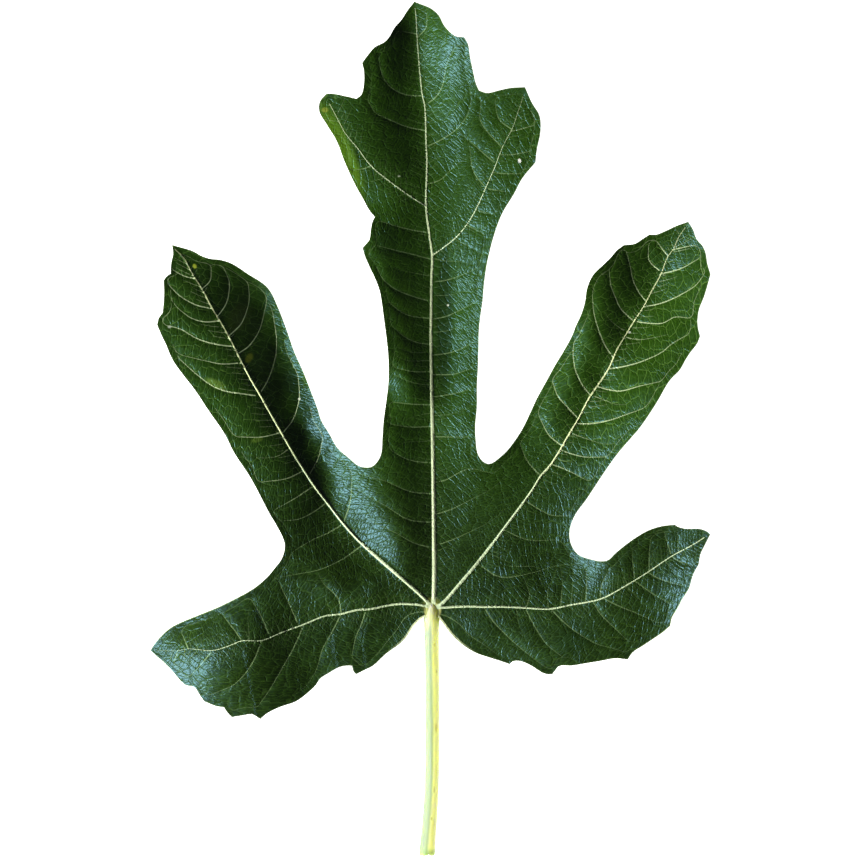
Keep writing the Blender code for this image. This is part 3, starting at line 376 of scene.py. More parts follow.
all_ribs = np.vstack(rib_lines)
edge_marks = curve(np.vstack([outline, outline[:1]]), 0.15)
edge_sparse = edge_marks[::3]
edge_ahead = np.roll(edge_sparse, -1, axis=0) - np.roll(edge_sparse, 1, axis=0)
edge_ahead /= np.linalg.norm(edge_ahead, axis=1)[:, None]
vein_lines = []
for number, vein in enumerate(VEINS + LESSER):
    # near a rib it starts on the rib itself, and it ends a little before the margin
    line = curve([sheet(x, y) for x, y in vein], STEP)
    off, at = nearest(line[:1], all_ribs)
    if off[0] < 2.5:
        fade = np.exp(-np.arange(len(line)) * STEP / 1.5)[:, None]
        line = line + (all_ribs[at[0]] - line[0]) * fade
    off = nearest(line, edge_marks)[0]
    vein_lines.append(line[:max(8, int(np.sum(off > 0.9)))])


LANE = 2.3          # how far inside the margin the loops run
PACE = 0.2          # between two looks round, as a loop grows on
main_lengths = []


def loop_on(number, reach):
    """Lets a vein bend along the margin until it meets another one, or the margin."""
    line = vein_lines[number]
    others = np.vstack([other[::4] for k, other in enumerate(vein_lines) if k != number]
                       + [rib[::4] for rib in rib_lines])
    spot, way = line[-1].copy(), line[-1] - line[-7]
    way /= np.linalg.norm(way)
    grown = []
    for step in range(int(reach / PACE)):
        to_edge = edge_sparse - spot
        off = np.hypot(to_edge[:, 0], to_edge[:, 1])
        k = int(np.argmin(off))
        along = edge_ahead[k] * (1.0 if edge_ahead[k] @ way >= 0 else -1.0)
        wish = along + to_edge[k] / max(off[k], 0.2) * np.clip((off[k] - LANE) / 2.0, -0.8, 0.8)
        near_edge = off[k] < 4.5
        pull = 0.16 if near_edge else 0.05
        way = way * (1.0 - pull) + wish / np.linalg.norm(wish) * pull
        way /= np.linalg.norm(way)
        spot = spot + way * PACE
        grown.extend([spot - way * STEP, spot])
        gap = np.hypot(others[:, 0] - spot[0], others[:, 1] - spot[1])
        meets_vein = step > 6 and gap.min() < 0.3
        if meets_vein or off[k] < 0.6:
            break
    vein_lines[number] = np.vstack([line, grown])
    main_lengths.append(len(line))


for number in range(len(VEINS) + len(LESSER)):
    loop_on(number, 13.0 if number < len(VEINS) else 5.0)


# Net of the smallest veins: short straight ones side by side along the ribs, rungs between the
# side veins, and rounded meshes of 3 to 4 mm further out. Each mesh of blade swells a little.
chance = np.random.default_rng(7)


def inside(points, loop):
    """True where a point lies inside the loop."""
    x, y = points[:, 0], points[:, 1]
    result = np.zeros(len(points), dtype=bool)
    for a, b in zip(loop, np.roll(loop, -1, axis=0)):
        if a[1] != b[1]:
            crosses = (a[1] > y) != (b[1] > y)
            result ^= crosses & (x < a[0] + (y - a[1]) * (b[0] - a[0]) / (b[1] - a[1]))
    return result


class Spread:
    """Points that keep their distance from all that came before."""

    def __init__(self):
        self.cells = {}
        self.points = []

    def put(self, points, reach):
        for x, y in points:
            i, k = int(x // 2.0), int(y // 2.0)
            near = (p for a in (i - 1, i, i + 1) for b in (k - 1, k, k + 1)
                    for p in self.cells.get((a, b), ()))
            if all((p[0] - x) ** 2 + (p[1] - y) ** 2 > reach * reach for p in near):
                self.cells.setdefault((i, k), []).append((x, y))
                self.points.append((x, y))


def ways(line):
    """Unit steps along a line, and to its left."""
    ahead = np.gradient(line, axis=0)
    ahead /= np.linalg.norm(ahead, axis=1)[:, None]
    return ahead, np.column_stack([-ahead[:, 1], ahead[:, 0]])


def side_way(ahead, mark, marks, angles, side):
    """Direction in which the veins leave a rib at one of its marks."""
    turn = side * float(np.interp(mark, marks, angles))
    return np.array([ahead[mark][0] * math.cos(turn) - ahead[mark][1] * math.sin(turn),
                     ahead[mark][0] * math.sin(turn) + ahead[mark][1] * math.cos(turn)])


seeds = Spread()
short_lines = []
main_marks = np.vstack([line[::3] for line in vein_lines[:len(VEINS)]])
for number, line in enumerate(long_ribs):
    ahead, _ = ways(line)
    for side in (-1, 1):
        marks, angles = [], []
        for vein in vein_lines[:len(VEINS)]:
            off = np.linalg.norm(line - vein[0], axis=1)
            mark = int(np.argmin(off))
            way = vein[min(60, len(vein) - 1)] - vein[0]
            turn = math.atan2(ahead[mark][0] * way[1] - ahead[mark][1] * way[0], ahead[mark] @ way)
            if off[mark] < 0.4 and turn * side > 0:
                marks.append(mark)
                angles.append(abs(turn))
        if not marks:
            marks, angles = [0], [math.radians(60)]
        order = np.argsort(marks)
        marks, angles = np.array(marks)[order], np.array(angles)[order]
        for count, mark in enumerate(range(25, len(line) - 45, 22)):
            way = side_way(ahead, mark, marks, angles, side)
            seeds.put([line[mark] + way * (1.3 + 2.6 * j + 0.7 * (count % 2)) for j in range(3)], 1.5)
            way = side_way(ahead, mark + 11, marks, angles, side)
            bow = ahead[mark + 11] * 0.02
            reach = chance.uniform(3.0, 7.5) * (0.4 if (number, side) in ((1, -1), (2, 1)) else 1.0)
            steps = np.arange(0.0, reach, STEP)[:, None]
            short = line[mark + 11] + way * steps + bow * steps ** 2
            gap = np.array([np.hypot(*(main_marks - p).T).min() for p in short[::5]])
            clear = len(short) if gap.min() > 0.7 else 5 * int(np.argmax(gap <= 0.7))
            if clear > 15:
                short_lines.append(short[:clear])
for line in vein_lines[:len(VEINS)]:
    _, left = ways(line)
    for row, off in enumerate((1.5, 4.3)):
        for side in (-1, 1):
            for mark in range(30 + 13 * row, len(line), 27):
                seeds.put([line[mark] + side * off * left[mark]], 1.9)
pitch, row_step, loose = 3.1, 2.7, 0.7
for row in range(96):
    seeds.put([(-97 + (column + 0.5 * (row % 2)) * pitch + chance.uniform(-loose, loose),
                -45 + row * row_step + chance.uniform(-loose, loose)) for column in range(64)], 2.3)
seeds = np.array(seeds.points)
seeds = seeds + chance.uniform(-0.22, 0.22, seeds.shape)
whole = [inside(line[::10], outline).all() for line in short_lines]
short_lines = [line for line, ok in zip(short_lines, whole) if ok]

_, _, meshes, _, _, _ = delaunay_2d_cdt([Vector(p) for p in seeds], [], [], 0, 1e-6)
middles, shared = [], {}
for number, (a, b, c) in enumerate(meshes):
    p, q, r = seeds[a], seeds[b] - seeds[a], seeds[c] - seeds[a]
    d = 2.0 * (q[0] * r[1] - q[1] * r[0])
    middles.append(p + np.array([r[1] * (q @ q) - q[1] * (r @ r), q[0] * (r @ r) - r[0] * (q @ q)]) / d)
    for pair in ((a, b), (b, c), (c, a)):
        shared.setdefault(tuple(sorted(pair)), []).append(number)
net_steps, net_marks = [], []
for pair in shared.values():
    if len(pair) == 2:
        a, b = middles[pair[0]], middles[pair[1]]
        long = math.dist(a, b)
        if 0.3 < long < 6.0:
            for step, store in ((0.85, net_steps), (0.15, net_marks)):
                parts = max(1, round(long / step))
                store.extend(a + (b - a) * k / parts for k in range(parts + 1))
net_steps, net_marks = np.array(net_steps), np.array(net_marks)
net_steps = net_steps[inside(net_steps, outline)]


# Blade: a thin waved skin grown over the ribs, glossy dark green above and pale and dull below.
# It rests on the thick hub and on one low point at each side, as the leaf does on a table.
LAMINA = 0.66       # thickness between the veins
HUB_Y = 0.33        # middle of the hub, along the leaf
HUB_SPOT = 1.65     # radius of the flat spot under the hub
VEIN_HALF = 0.9     # a side vein below: half width
VEIN_DEEP = 0.7     # and how far it stands out
NET_HALF = 0.5      # the same of the net
NET_DEEP = 0.12
SWELL = 0.13        # rise of the skin between the veins, above
GROOVE = 0.05       # depth of the groove at each side of a rib
LIP = 0.16          # rise of the margin
# Height of the sheet over places on the drawing sheet.
DRAPE = [
    # hub and the ribs around it
    (432, 609, 5.4), (432, 560, 6.6), (433, 520, 7.4), (433, 480, 7.6), (380, 560, 6.6), (342, 523, 6.4),
    (479, 561, 6.4), (506, 526, 7.4), (390, 606, 5.8), (480, 607, 6.0), (462, 560, 6.8),
    (466, 510, 7.8), (484, 470, 8.2), (404, 572, 8.0), (415, 630, 5.2), (446, 628, 5.0), (496, 618, 6.2),
    # fold between the left upper lobe and the middle one
    (322, 466, 5.2), (345, 468, 7.6), (366, 466, 9.4), (386, 468, 10.0), (332, 498, 5.4), (350, 500, 7.2),
    (372, 500, 9.4), (392, 500, 10.0), (362, 536, 6.4), (380, 536, 8.2), (398, 538, 9.4),
    # middle lobe up to the crease
    (384, 442, 9.8), (432, 430, 7.0), (476, 430, 9.0), (447, 385, 6.6),
    (387, 402, 8.0), (412, 398, 8.6), (386, 386, 7.8),
    (406, 376, 9.4), (386, 424, 9.4), (432, 385, 6.8), (477, 387, 8.7), (388, 358, 10.2), (431, 345, 6.8),
    (446, 345, 6.5), (479, 340, 8.9), (382, 300, 11.4), (431, 300, 7.4), (447, 300, 7.0),
    (483, 300, 9.5), (365, 250, 12.4), (400, 250, 10.8), (431, 255, 8.2), (490, 255, 11.0),
    (371, 232, 12.4),
    # head of the middle lobe
    (366, 204, 10.2), (398, 205, 10.8), (426, 206, 9.4), (505, 205, 12.8), (350, 172, 11.8),
    (371, 166, 12.0), (398, 160, 10.8), (426, 160, 8.8), (470, 165, 11.2), (533, 160, 14.0),
    (322, 106, 12.0), (345, 133, 12.4), (372, 120, 12.2), (400, 115, 10.0), (425, 110, 8.4),
    (455, 110, 11.2), (490, 110, 12.8), (526, 92, 14.2), (364, 70, 12.8), (392, 65, 11.0), (419, 63, 8.4),
    (444, 62, 11.4), (470, 58, 13.9), (390, 34, 11.4), (417, 33, 8.6), (452, 34, 13.8), (414, 2, 8.2),
    (434, 12, 11.0),
    # left upper lobe
    (174, 250, 8.8), (200, 262, 8.2), (164, 300, 11.0), (203, 292, 9.4), (232, 285, 6.2), (252, 285, 4.2),
    (190, 345, 11.4), (228, 336, 9.8), (248, 325, 6.8), (262, 312, 4.0), (280, 318, 4.8), (214, 400, 11.2),
    (262, 398, 9.2), (280, 390, 5.8), (292, 380, 4.6), (308, 386, 6.4), (242, 460, 10.8), (288, 445, 8.8),
    (305, 430, 5.2), (323, 426, 7.5), (278, 350, 4.2), (296, 350, 5.2), (266, 350, 6.0),
    (262, 500, 10.2), (312, 484, 7.6), (283, 545, 9.4), (322, 545, 7.4), (350, 558, 6.4),
    # right upper lobe
    (688, 224, 9.4), (650, 238, 8.4), (668, 260, 7.2), (600, 270, 10.4), (626, 280, 8.0), (655, 287, 6.4),
    (684, 283, 9.6), (706, 283, 12.8), (585, 302, 9.4), (604, 306, 9.0), (630, 328, 6.7), (660, 335, 10.2),
    (696, 335, 14.0), (603, 377, 7.2), (640, 385, 12.2), (572, 336, 7.0), (590, 340, 8.9), (565, 349, 6.6),
    (582, 358, 8.6), (556, 364, 6.3), (572, 376, 8.3), (547, 380, 6.2), (562, 395, 8.0), (538, 398, 6.2),
    (552, 415, 8.0), (529, 415, 6.3), (665, 388, 14.6), (582, 413, 7.4), (612, 420, 10.6),
    (640, 425, 13.6), (518, 436, 6.8), (548, 462, 7.6), (585, 480, 9.0), (614, 460, 11.4), (528, 496, 7.8),
    (560, 510, 7.8), (573, 520, 8.2),
    # left lower lobe
    (152, 651, 1.8), (185, 649, 6.2), (185, 622, 4.6), (175, 672, 4.0), (212, 650, 8.8), (218, 610, 7.4),
    (206, 695, 6.2), (204, 672, 7.8), (250, 642, 9.6), (250, 594, 8.8), (240, 690, 7.6),
    (258, 714, 5.8), (290, 624, 7.0), (290, 590, 8.2), (282, 672, 6.6), (298, 698, 4.8), (335, 614, 6.2),
    (335, 588, 8.6), (330, 650, 5.8), (375, 588, 8.0),
    (318, 680, 4.2), (356, 668, 5.0), (368, 640, 5.4),
    # right lower lobe
    (520, 607, 6.2), (520, 575, 6.6), (548, 607, 6.6), (545, 580, 6.0), (562, 578, 6.2), (574, 552, 6.4),
    (590, 573, 7.8), (600, 561, 9.4), (612, 592, 9.0), (614, 560, 10.2), (650, 571, 9.8), (640, 538, 11.0),
    (676, 554, 11.0), (676, 528, 12.0), (707, 534, 13.6), (698, 562, 13.4), (660, 605, 8.6), (684, 592, 11.4),
    (668, 628, 7.4), (620, 625, 7.4), (628, 656, 5.8),
    (575, 635, 6.8), (552, 670, 5.4), (525, 640, 6.2), (508, 660, 4.8), (490, 635, 5.8), (470, 645, 5.2),
]


def ease(value):
    """Smooth step from 0 to 1."""
    v = np.clip(value, 0.0, 1.0)
    return v * v * (3.0 - 2.0 * v)


plan, plan_below = Spread(), Spread()
plan.put(outline, 0.05)
plan_below.put(outline, 0.05)
edge_count = len(plan.points)
for (root, tip, _, _), line in zip(RIDGES, rib_lines):
    _, left = ways(line)
    half = (tip + (root - tip) * np.linspace(1, 0, len(line)) ** 1.2)[:, None]
    plan.put(line[::7], 0.3)
    for k in (-0.55, 0.55, -1.0, 1.0):
        plan.put((line + left * half * k)[::7], 0.26)
    for k in (-0.5, 0.5):
        plan.put((line + left * (half * np.sign(k) + k))[::8], 0.4)
    for k in (0.0, -0.7, 0.7, -1.5, 1.5):
        plan_below.put((line + left * k)[::14], 0.6)
for line in vein_lines + short_lines:
    _, left = ways(line)
    plan.put(line[::5], 0.30)
    plan.put((line + left * 0.34)[2::5], 0.28)
    plan.put((line - left * 0.34)[2::5], 0.28)
for line in vein_lines:
    _, left = ways(line)
    for k in (0.0, -0.55, 0.55):
        plan_below.put((line + left * k)[::8], 0.45)
plan.put(net_steps, 0.5)
for found, across, reach in ((plan, 0.84, 0.54), (plan_below, 1.5, 0.95)):
    fill = np.array([(-96 + (column + 0.5 * (row % 2)) * across, -36 + row * across * 0.87)
                     for row in range(int(242 / across / 0.87)) for column in range(int(192 / across))])
    fill = fill + chance.uniform(-0.08, 0.08, fill.shape)
    found.put(fill[inside(fill, outline)], reach)


def cut(points):
    """Triangles over the points, within the outline that they begin with, facing up."""
    keep = inside(points, outline)
    keep[:edge_count] = True
    keep[edge_count:] &= nearest(points[edge_count:], edge_marks)[0] > 0.35
    found, _, faces, _, _, _ = delaunay_2d_cdt(
        [Vector(p) for p in points[keep]], [], [list(range(edge_count))], 1, 1e-6)
    found, faces = np.array([tuple(v) for v in found]), np.array([tuple(f) for f in faces])
    faces = faces[inside(found[faces].mean(axis=1), outline)]
    p, q, r = found[faces[:, 0]], found[faces[:, 1]], found[faces[:, 2]]
    down = (q[:, 0] - p[:, 0]) * (r[:, 1] - p[:, 1]) < (q[:, 1] - p[:, 1]) * (r[:, 0] - p[:, 0])
    faces[down] = faces[down][:, ::-1]
    return found, faces


# heights: the same smooth sheet through the same places as the solid blade
spots = np.array([sheet(x, y) for x, y, z in DRAPE])
rise = np.array([z for x, y, z in DRAPE])
n = len(spots)
r2 = ((spots[:, None, :] - spots[None, :, :]) ** 2).sum(axis=2)
left = np.zeros((n + 3, n + 3))
left[:n, :n] = 0.5 * r2 * np.log(np.maximum(r2, 1e-12)) + np.eye(n) * 6.0
left[:n, n] = 1.0
left[:n, n + 1:] = spots
left[n:, :n] = left[:n, n:].T
weights = np.linalg.solve(left, np.concatenate([rise, np.zeros(3)]))


def drape(points):
    """Height of the smooth sheet over the points."""
    out = []
    for part in np.array_split(points, max(1, len(points) // 6000)):
        gap2 = ((part[:, None, :] - spots[None, :, :]) ** 2).sum(axis=2)
        out.append(0.5 * (gap2 * np.log(np.maximum(gap2, 1e-12))) @ weights[:n])
    return np.concatenate(out) + weights[n] + points @ weights[n + 1:]


main_marks = np.vstack([line[:long] for line, long in zip(vein_lines[:len(VEINS)], main_lengths)])
vein_marks = np.vstack(vein_lines)
drawn_marks = np.vstack([vein_marks] + short_lines + fans)
drawn_half = np.concatenate(
    [np.concatenate([np.linspace(0.19, 0.10, long), np.linspace(0.10, 0.06, len(line) - long)])
     * (1.0 if k < len(VEINS) else 0.7) for k, (line, long) in enumerate(zip(vein_lines, main_lengths))]
    + [np.linspace(0.11, 0.05, len(line)) for line in short_lines]
    + [np.linspace(0.16, 0.08, len(line)) for line in fans])
tilt = chance.uniform(-0.04, 0.04, seeds.shape)


def lie(flat):
    """Heights of the upper side, thickness under it, and how far each point is from the lines."""
    slope_x = drape(flat + (0.5, 0)) - drape(flat - (0.5, 0))
    slope_y = drape(flat + (0, 0.5)) - drape(flat - (0, 0.5))
    lean = np.sqrt(1.0 + slope_x ** 2 + slope_y ** 2)
    edge_gap = nearest(flat, edge_marks)[0]
    edge_gap[:edge_count] = 0.0
    rib_gap = np.full(len(flat), 99.0)
    rib_share = np.full(len(flat), 9.0)
    below = np.zeros(len(flat))
    above = np.zeros(len(flat))
    from_hub = np.hypot(flat[:, 0], flat[:, 1] - HUB_Y)
    for rib, (root, tip, high, end), line in zip(RIBS, RIDGES, rib_lines):
        near = np.nonzero((flat[:, 0] > line[:, 0].min() - 9) & (flat[:, 0] < line[:, 0].max() + 9)
                          & (flat[:, 1] > line[:, 1].min() - 9) & (flat[:, 1] < line[:, 1].max() + 9))[0]
        gap, at = nearest(flat[near], line)
        along = at / (len(line) - 1)
        depth = rib[0] * (1.0 - along) ** 1.4 + rib[1] * (1.0 - (1.0 - along) ** 1.4)
        keel = rib[2] + (rib[3] - rib[2]) * along
        half = tip + (root - tip) * (1.0 - along) ** 1.2
        round_keel = 0.5 + 0.5 * np.cos(math.pi * np.clip(gap / keel, 0.0, 1.0))
        below[near] = np.maximum(below[near], depth * round_keel)
        rib_gap[near] = np.minimum(rib_gap[near], gap)
        if high > 0:
            ridge = np.clip(1.0 - (gap / half) ** 2, 0.0, 1.0) ** 0.8 * ease((from_hub[near] - 1.0) / 3.0)
            above[near] = np.maximum(above[near], (end + (high - end) * (1.0 - along)) * ridge)
            rib_share[near] = np.minimum(rib_share[near], gap / half)
    vein_gap = nearest(flat, vein_marks)[0]
    drawn_gap, at = nearest(flat, drawn_marks)
    main_gap = nearest(flat, main_marks)[0]
    net_gap = nearest(flat, net_marks)[0]
    seed_at = nearest(flat, seeds)[1]
    vein_tent = np.clip(1.0 - main_gap / VEIN_HALF, 0.0, 1.0) * (rib_gap > 1.0)
    below = np.maximum(below, VEIN_DEEP * vein_tent)
    below = np.maximum(below, NET_DEEP * np.clip(1.0 - net_gap / NET_HALF, 0.0, 1.0))
    line_gap = np.minimum(np.minimum(rib_gap, main_gap), np.minimum(edge_gap, vein_gap) + 0.8)
    swell = SWELL * ease(line_gap / 3.0) - 0.09 * vein_tent + 0.06
    groove = GROOVE * np.clip(1.0 - np.abs(rib_share - 1.25) / 0.5, 0.0, 1.0)
    meshes = 0.05 * ease(net_gap / 0.9) - 0.025
    meshes = meshes + ((flat - seeds[seed_at]) * tilt[seed_at]).sum(axis=1) * ease(net_gap / 0.8)
    lip = LIP * (1.0 - ease(edge_gap / 1.3))
    top = drape(flat) + swell + above - groove + lip + meshes * ease(edge_gap / 0.8)
    flesh = LAMINA * (0.6 + 0.4 * ease(edge_gap / 1.5))
    thick = (flesh + below) * lean + 0.05 * vein_tent
    return top, thick, np.array([rib_share, drawn_gap, drawn_half[at], edge_gap])


above_at, faces = cut(np.array(plan.points))
below_at, faces_below = cut(np.array(plan_below.points))
top, _, marks = lie(above_at)
under, thick, marks_below = lie(below_at)
marks_below[1] = nearest(below_at, vein_marks)[0]
low = under - thick

# the lean that lets it rest on its lowest point at each side, and on the hub
left_side = np.nonzero((below_at[:, 0] < -30) & (below_at[:, 1] > 40))[0]
right_side = np.nonzero((below_at[:, 0] > 30) & (below_at[:, 1] > 40))[0]
for attempt in range(40):
    a, b = left_side[np.argmin(low[left_side])], right_side[np.argmin(low[right_side])]
    plane = np.linalg.solve(below_at[[a, b]], -low[[a, b]])
    low = low + below_at @ plane
    top = top + above_at @ plane
hub_gap = np.hypot(below_at[:, 0], below_at[:, 1] - HUB_Y)
low = low * ease((hub_gap - HUB_SPOT) / (9.0 - HUB_SPOT))
low[hub_gap <= HUB_SPOT] = 0.0
low = np.maximum(low, 0.0)

count = len(above_at)
verts = np.vstack([np.column_stack([above_at, top]), np.column_stack([below_at, low])]) * 0.001
rim = {}
for t in faces.tolist():
    for i, k in ((t[0], t[1]), (t[1], t[2]), (t[2], t[0])):
        if (k, i) in rim:
            del rim[(k, i)]
        else:
            rim[(i, k)] = True
shell = faces.tolist() + (faces_below[:, ::-1] + count).tolist()
shell += [(k, i, i + count, k + count) for i, k in rim]
mesh = bpy.data.meshes.new("leaf_blade")
mesh.from_pydata([tuple(v) for v in verts], [], shell)
mesh.polygons.foreach_set("use_smooth", [True] * len(shell))
mesh.polygons.foreach_set("material_index", [0] * len(faces) + [1] * (len(shell) - len(faces)))
marks = np.clip(np.hstack([marks, marks_below]), 0.0, 9.0).astype(np.float32)
for name, values in zip(("rib", "vein", "vein_half", "edge"), marks):
    store = mesh.attributes.new(name, "FLOAT", "POINT")
    store.data.foreach_set("value", values)

# growth of the blade, kept at the corners of each upper face for the rib nearest to it: millimetres
# along the rib less the slant of the side veins, and the same plus the slant of the rungs. Each
# rib starts 60 further on than the last, so that no two of them share a pattern.
rib_gaps, grow = [], []
for number, line in enumerate(long_ribs):
    gap, at = nearest(above_at, line)
    ahead = np.gradient(line, axis=0)[at]
    out = above_at - line[at]
    wide = gap * (1.0 + 0.07 * np.sign(ahead[:, 0] * out[:, 1] - ahead[:, 1] * out[:, 0]))
    rib_gaps.append(gap)
    grow.append(np.column_stack([at * STEP - 0.55 * wide, at * STEP + 1.2 * wide, np.zeros(count)])
                + 60.0 * number)
rib_gaps, grow = np.array(rib_gaps), np.array(grow)
own = np.argmin(rib_gaps[:, faces].sum(axis=2), axis=0)
corners = np.zeros((len(mesh.loops), 3), dtype=np.float32)
corners[:3 * len(faces)] = grow[own[:, None], faces].reshape(-1, 3)
store = mesh.attributes.new("grow", "FLOAT_VECTOR", "CORNER")
store.data.foreach_set("vector", corners.ravel())
mesh.set_sharp_from_angle(angle=math.radians(60))
mesh.update()
blade = bpy.data.objects.new("leaf_blade", mesh)
bpy.context.scene.collection.objects.link(blade)

# Finish of the blade. Above: waxy dark green, cream ribs, pale green veins and a fine net, with a
# grain that breaks the gloss. Below: pale, dull and downy, with every vein standing out.


def ramp(value, low, high, first=0.0, last=1.0):
    """A smooth change from one value to another."""
    return add(tree, "MapRange", {0: value, 1: low, 2: high, 3: first, 4: last},
               interpolation_type="SMOOTHSTEP").outputs[0]


def sums(kind, first, second=0.0):
    """Arithmetic on two values."""
    return add(tree, "Math", {0: first, 1: second}, operation=kind).outputs[0]


def times(first, second):
    """One value times another."""
    return sums("MULTIPLY", first, second)


def tint(share, first, second):
    """A colour between two others."""
    first, second = ((*c, 1.0) if isinstance(c, tuple) else c for c in (first, second))
    return add(tree, "Mix", {0: share, 6: first, 7: second}, data_type="RGBA").outputs[2]


def laid(colour, rows):
    """Colours laid over one another, each by its own share."""
    for share, over in rows:
        colour = tint(share, colour, over)
    return colour


def value_of(name):
    """A value that the mesh keeps at its points."""
    return add(tree, "Attribute", attribute_name=name).outputs["Fac"]


def noise(vector, scale, detail, **settings):
    """Soft clouds."""
    return add(tree, "TexNoise", {"Vector": vector, "Scale": scale, "Detail": detail},
               **settings).outputs[0]


def walls(vector, scale, randomness=1.0):
    """How far it is to the walls of flat cells."""
    return add(tree, "TexVoronoi", {"Vector": vector, "Scale": scale, "Randomness": randomness},
               voronoi_dimensions="2D", feature="DISTANCE_TO_EDGE").outputs["Distance"]


def stretch(vector, x, y):
    """Places scaled along and across."""
    return add(tree, "Mapping", {"Vector": vector, "Scale": (x, y, 1.0)}).outputs[0]


def far(vector, x, y, z=0.0):
    """How far it is to one place, in metres."""
    return add(tree, "VectorMath", {0: vector, 1: (x, y, z)}, operation="DISTANCE").outputs["Value"]


def relief(*rows):
    """Bumps laid over one another: height, strength, and depth in metres."""
    under = {}
    for height, strength, depth in rows:
        under = {"Normal": add(tree, "Bump", {
            "Height": height, "Strength": strength, "Distance": depth, **under}).outputs[0]}
    return under["Normal"]


green_above, tree, surface = skin("green_above")
place = add(tree, "TexCoord").outputs["Object"]
grown = add(tree, "Attribute", attribute_name="grow").outputs["Vector"]
east, north = add(tree, "SeparateXYZ", {0: place}).outputs[:2]
cloudy, mottled = noise(place, 28.0, 3.0), noise(place, 260.0, 3.0)
grain, grit = noise(place, 2400.0, 2.0), noise(place, 1300.0, 2.0)
crinkle = noise(stretch(grown, 0.35, 0.90), 1.0, 2.0, noise_dimensions="2D")
waver = add(tree, "TexNoise", {"Vector": place, "Scale": 500.0, "Detail": 1.0}).outputs["Color"]
waver = add(tree, "VectorMath", {0: waver, 1: (0.9, 0.9, 0.0)}, operation="MULTIPLY").outputs[0]
wavy = add(tree, "VectorMath", {0: grown, 1: waver}, operation="ADD").outputs[0]
lanes = add(tree, "SeparateXYZ", {0: grown}).outputs
outer = ramp(sums("SUBTRACT", lanes[1], lanes[0]), 8.0, 16.0)
fine = {2: walls(stretch(wavy, 0.82, 0.36), 1.0, 0.65), 3: walls(stretch(wavy, 0.40, 0.72), 1.0, 0.65)}
fine = add(tree, "Mix", {0: outer, **fine}).outputs[0]
web = walls(stretch(wavy, 0.21, 0.30), 1.0, 0.85)
edge, rib, vein_half = value_of("edge"), value_of("rib"), value_of("vein_half")
vein = sums("DIVIDE", value_of("vein"), vein_half)
on_rib = ramp(rib, 0.75, 1.15, 1.0, 0.0)
on_vein = times(ramp(vein, 0.5, 1.5, 1.0, 0.0), ramp(vein_half, 0.05, 0.20, 0.20, 0.95))
on_web = ramp(web, 0.012, 0.040, 1.0, 0.0)
on_fine = ramp(fine, 0.01, 0.11, 1.0, 0.0)

# green of the skin: fresher away from the stalk, darker in a lane at each side of the ribs, which is painted
# shade, and paler on the walls of the net, more so on the outer lobes, which is painted light
fresh = ramp(north, 0.020, 0.070)
# painted light: on the outer lobes the net, the veins and the ribs are painted paler, standing in for light
# that comes through and onto them
outer_painted_light = times(ramp(sums("ABSOLUTE", east), 0.022, 0.045), fresh)
clouds = ramp(cloudy, 0.35, 0.68)
colour = tint(fresh, tint(clouds, (0.01, 0.026, 0.0006), (0.0135, 0.034, 0.0009)),
              tint(clouds, (0.0175, 0.056, 0.0008), (0.023, 0.072, 0.0012)))
colour = laid(colour, (
    (times(ramp(mottled, 0.4, 0.7), 0.25), (0.033, 0.09, 0.002)),
    (ramp(grit, 0.35, 0.60, 0.30, 0.0), (0.005, 0.018, 0.0004)),
    # painted shade: a darker lane at each side of the ribs
    (times(ramp(rib, 1.0, 2.6, 1.0, 0.0), 0.35), (0.0075, 0.024, 0.0006)),
    (times(on_fine, 0.22), (0.075, 0.17, 0.01)),
    (times(on_web, ramp(outer_painted_light, 0.0, 1.0, 0.13, 0.45)), (0.15, 0.29, 0.05))))

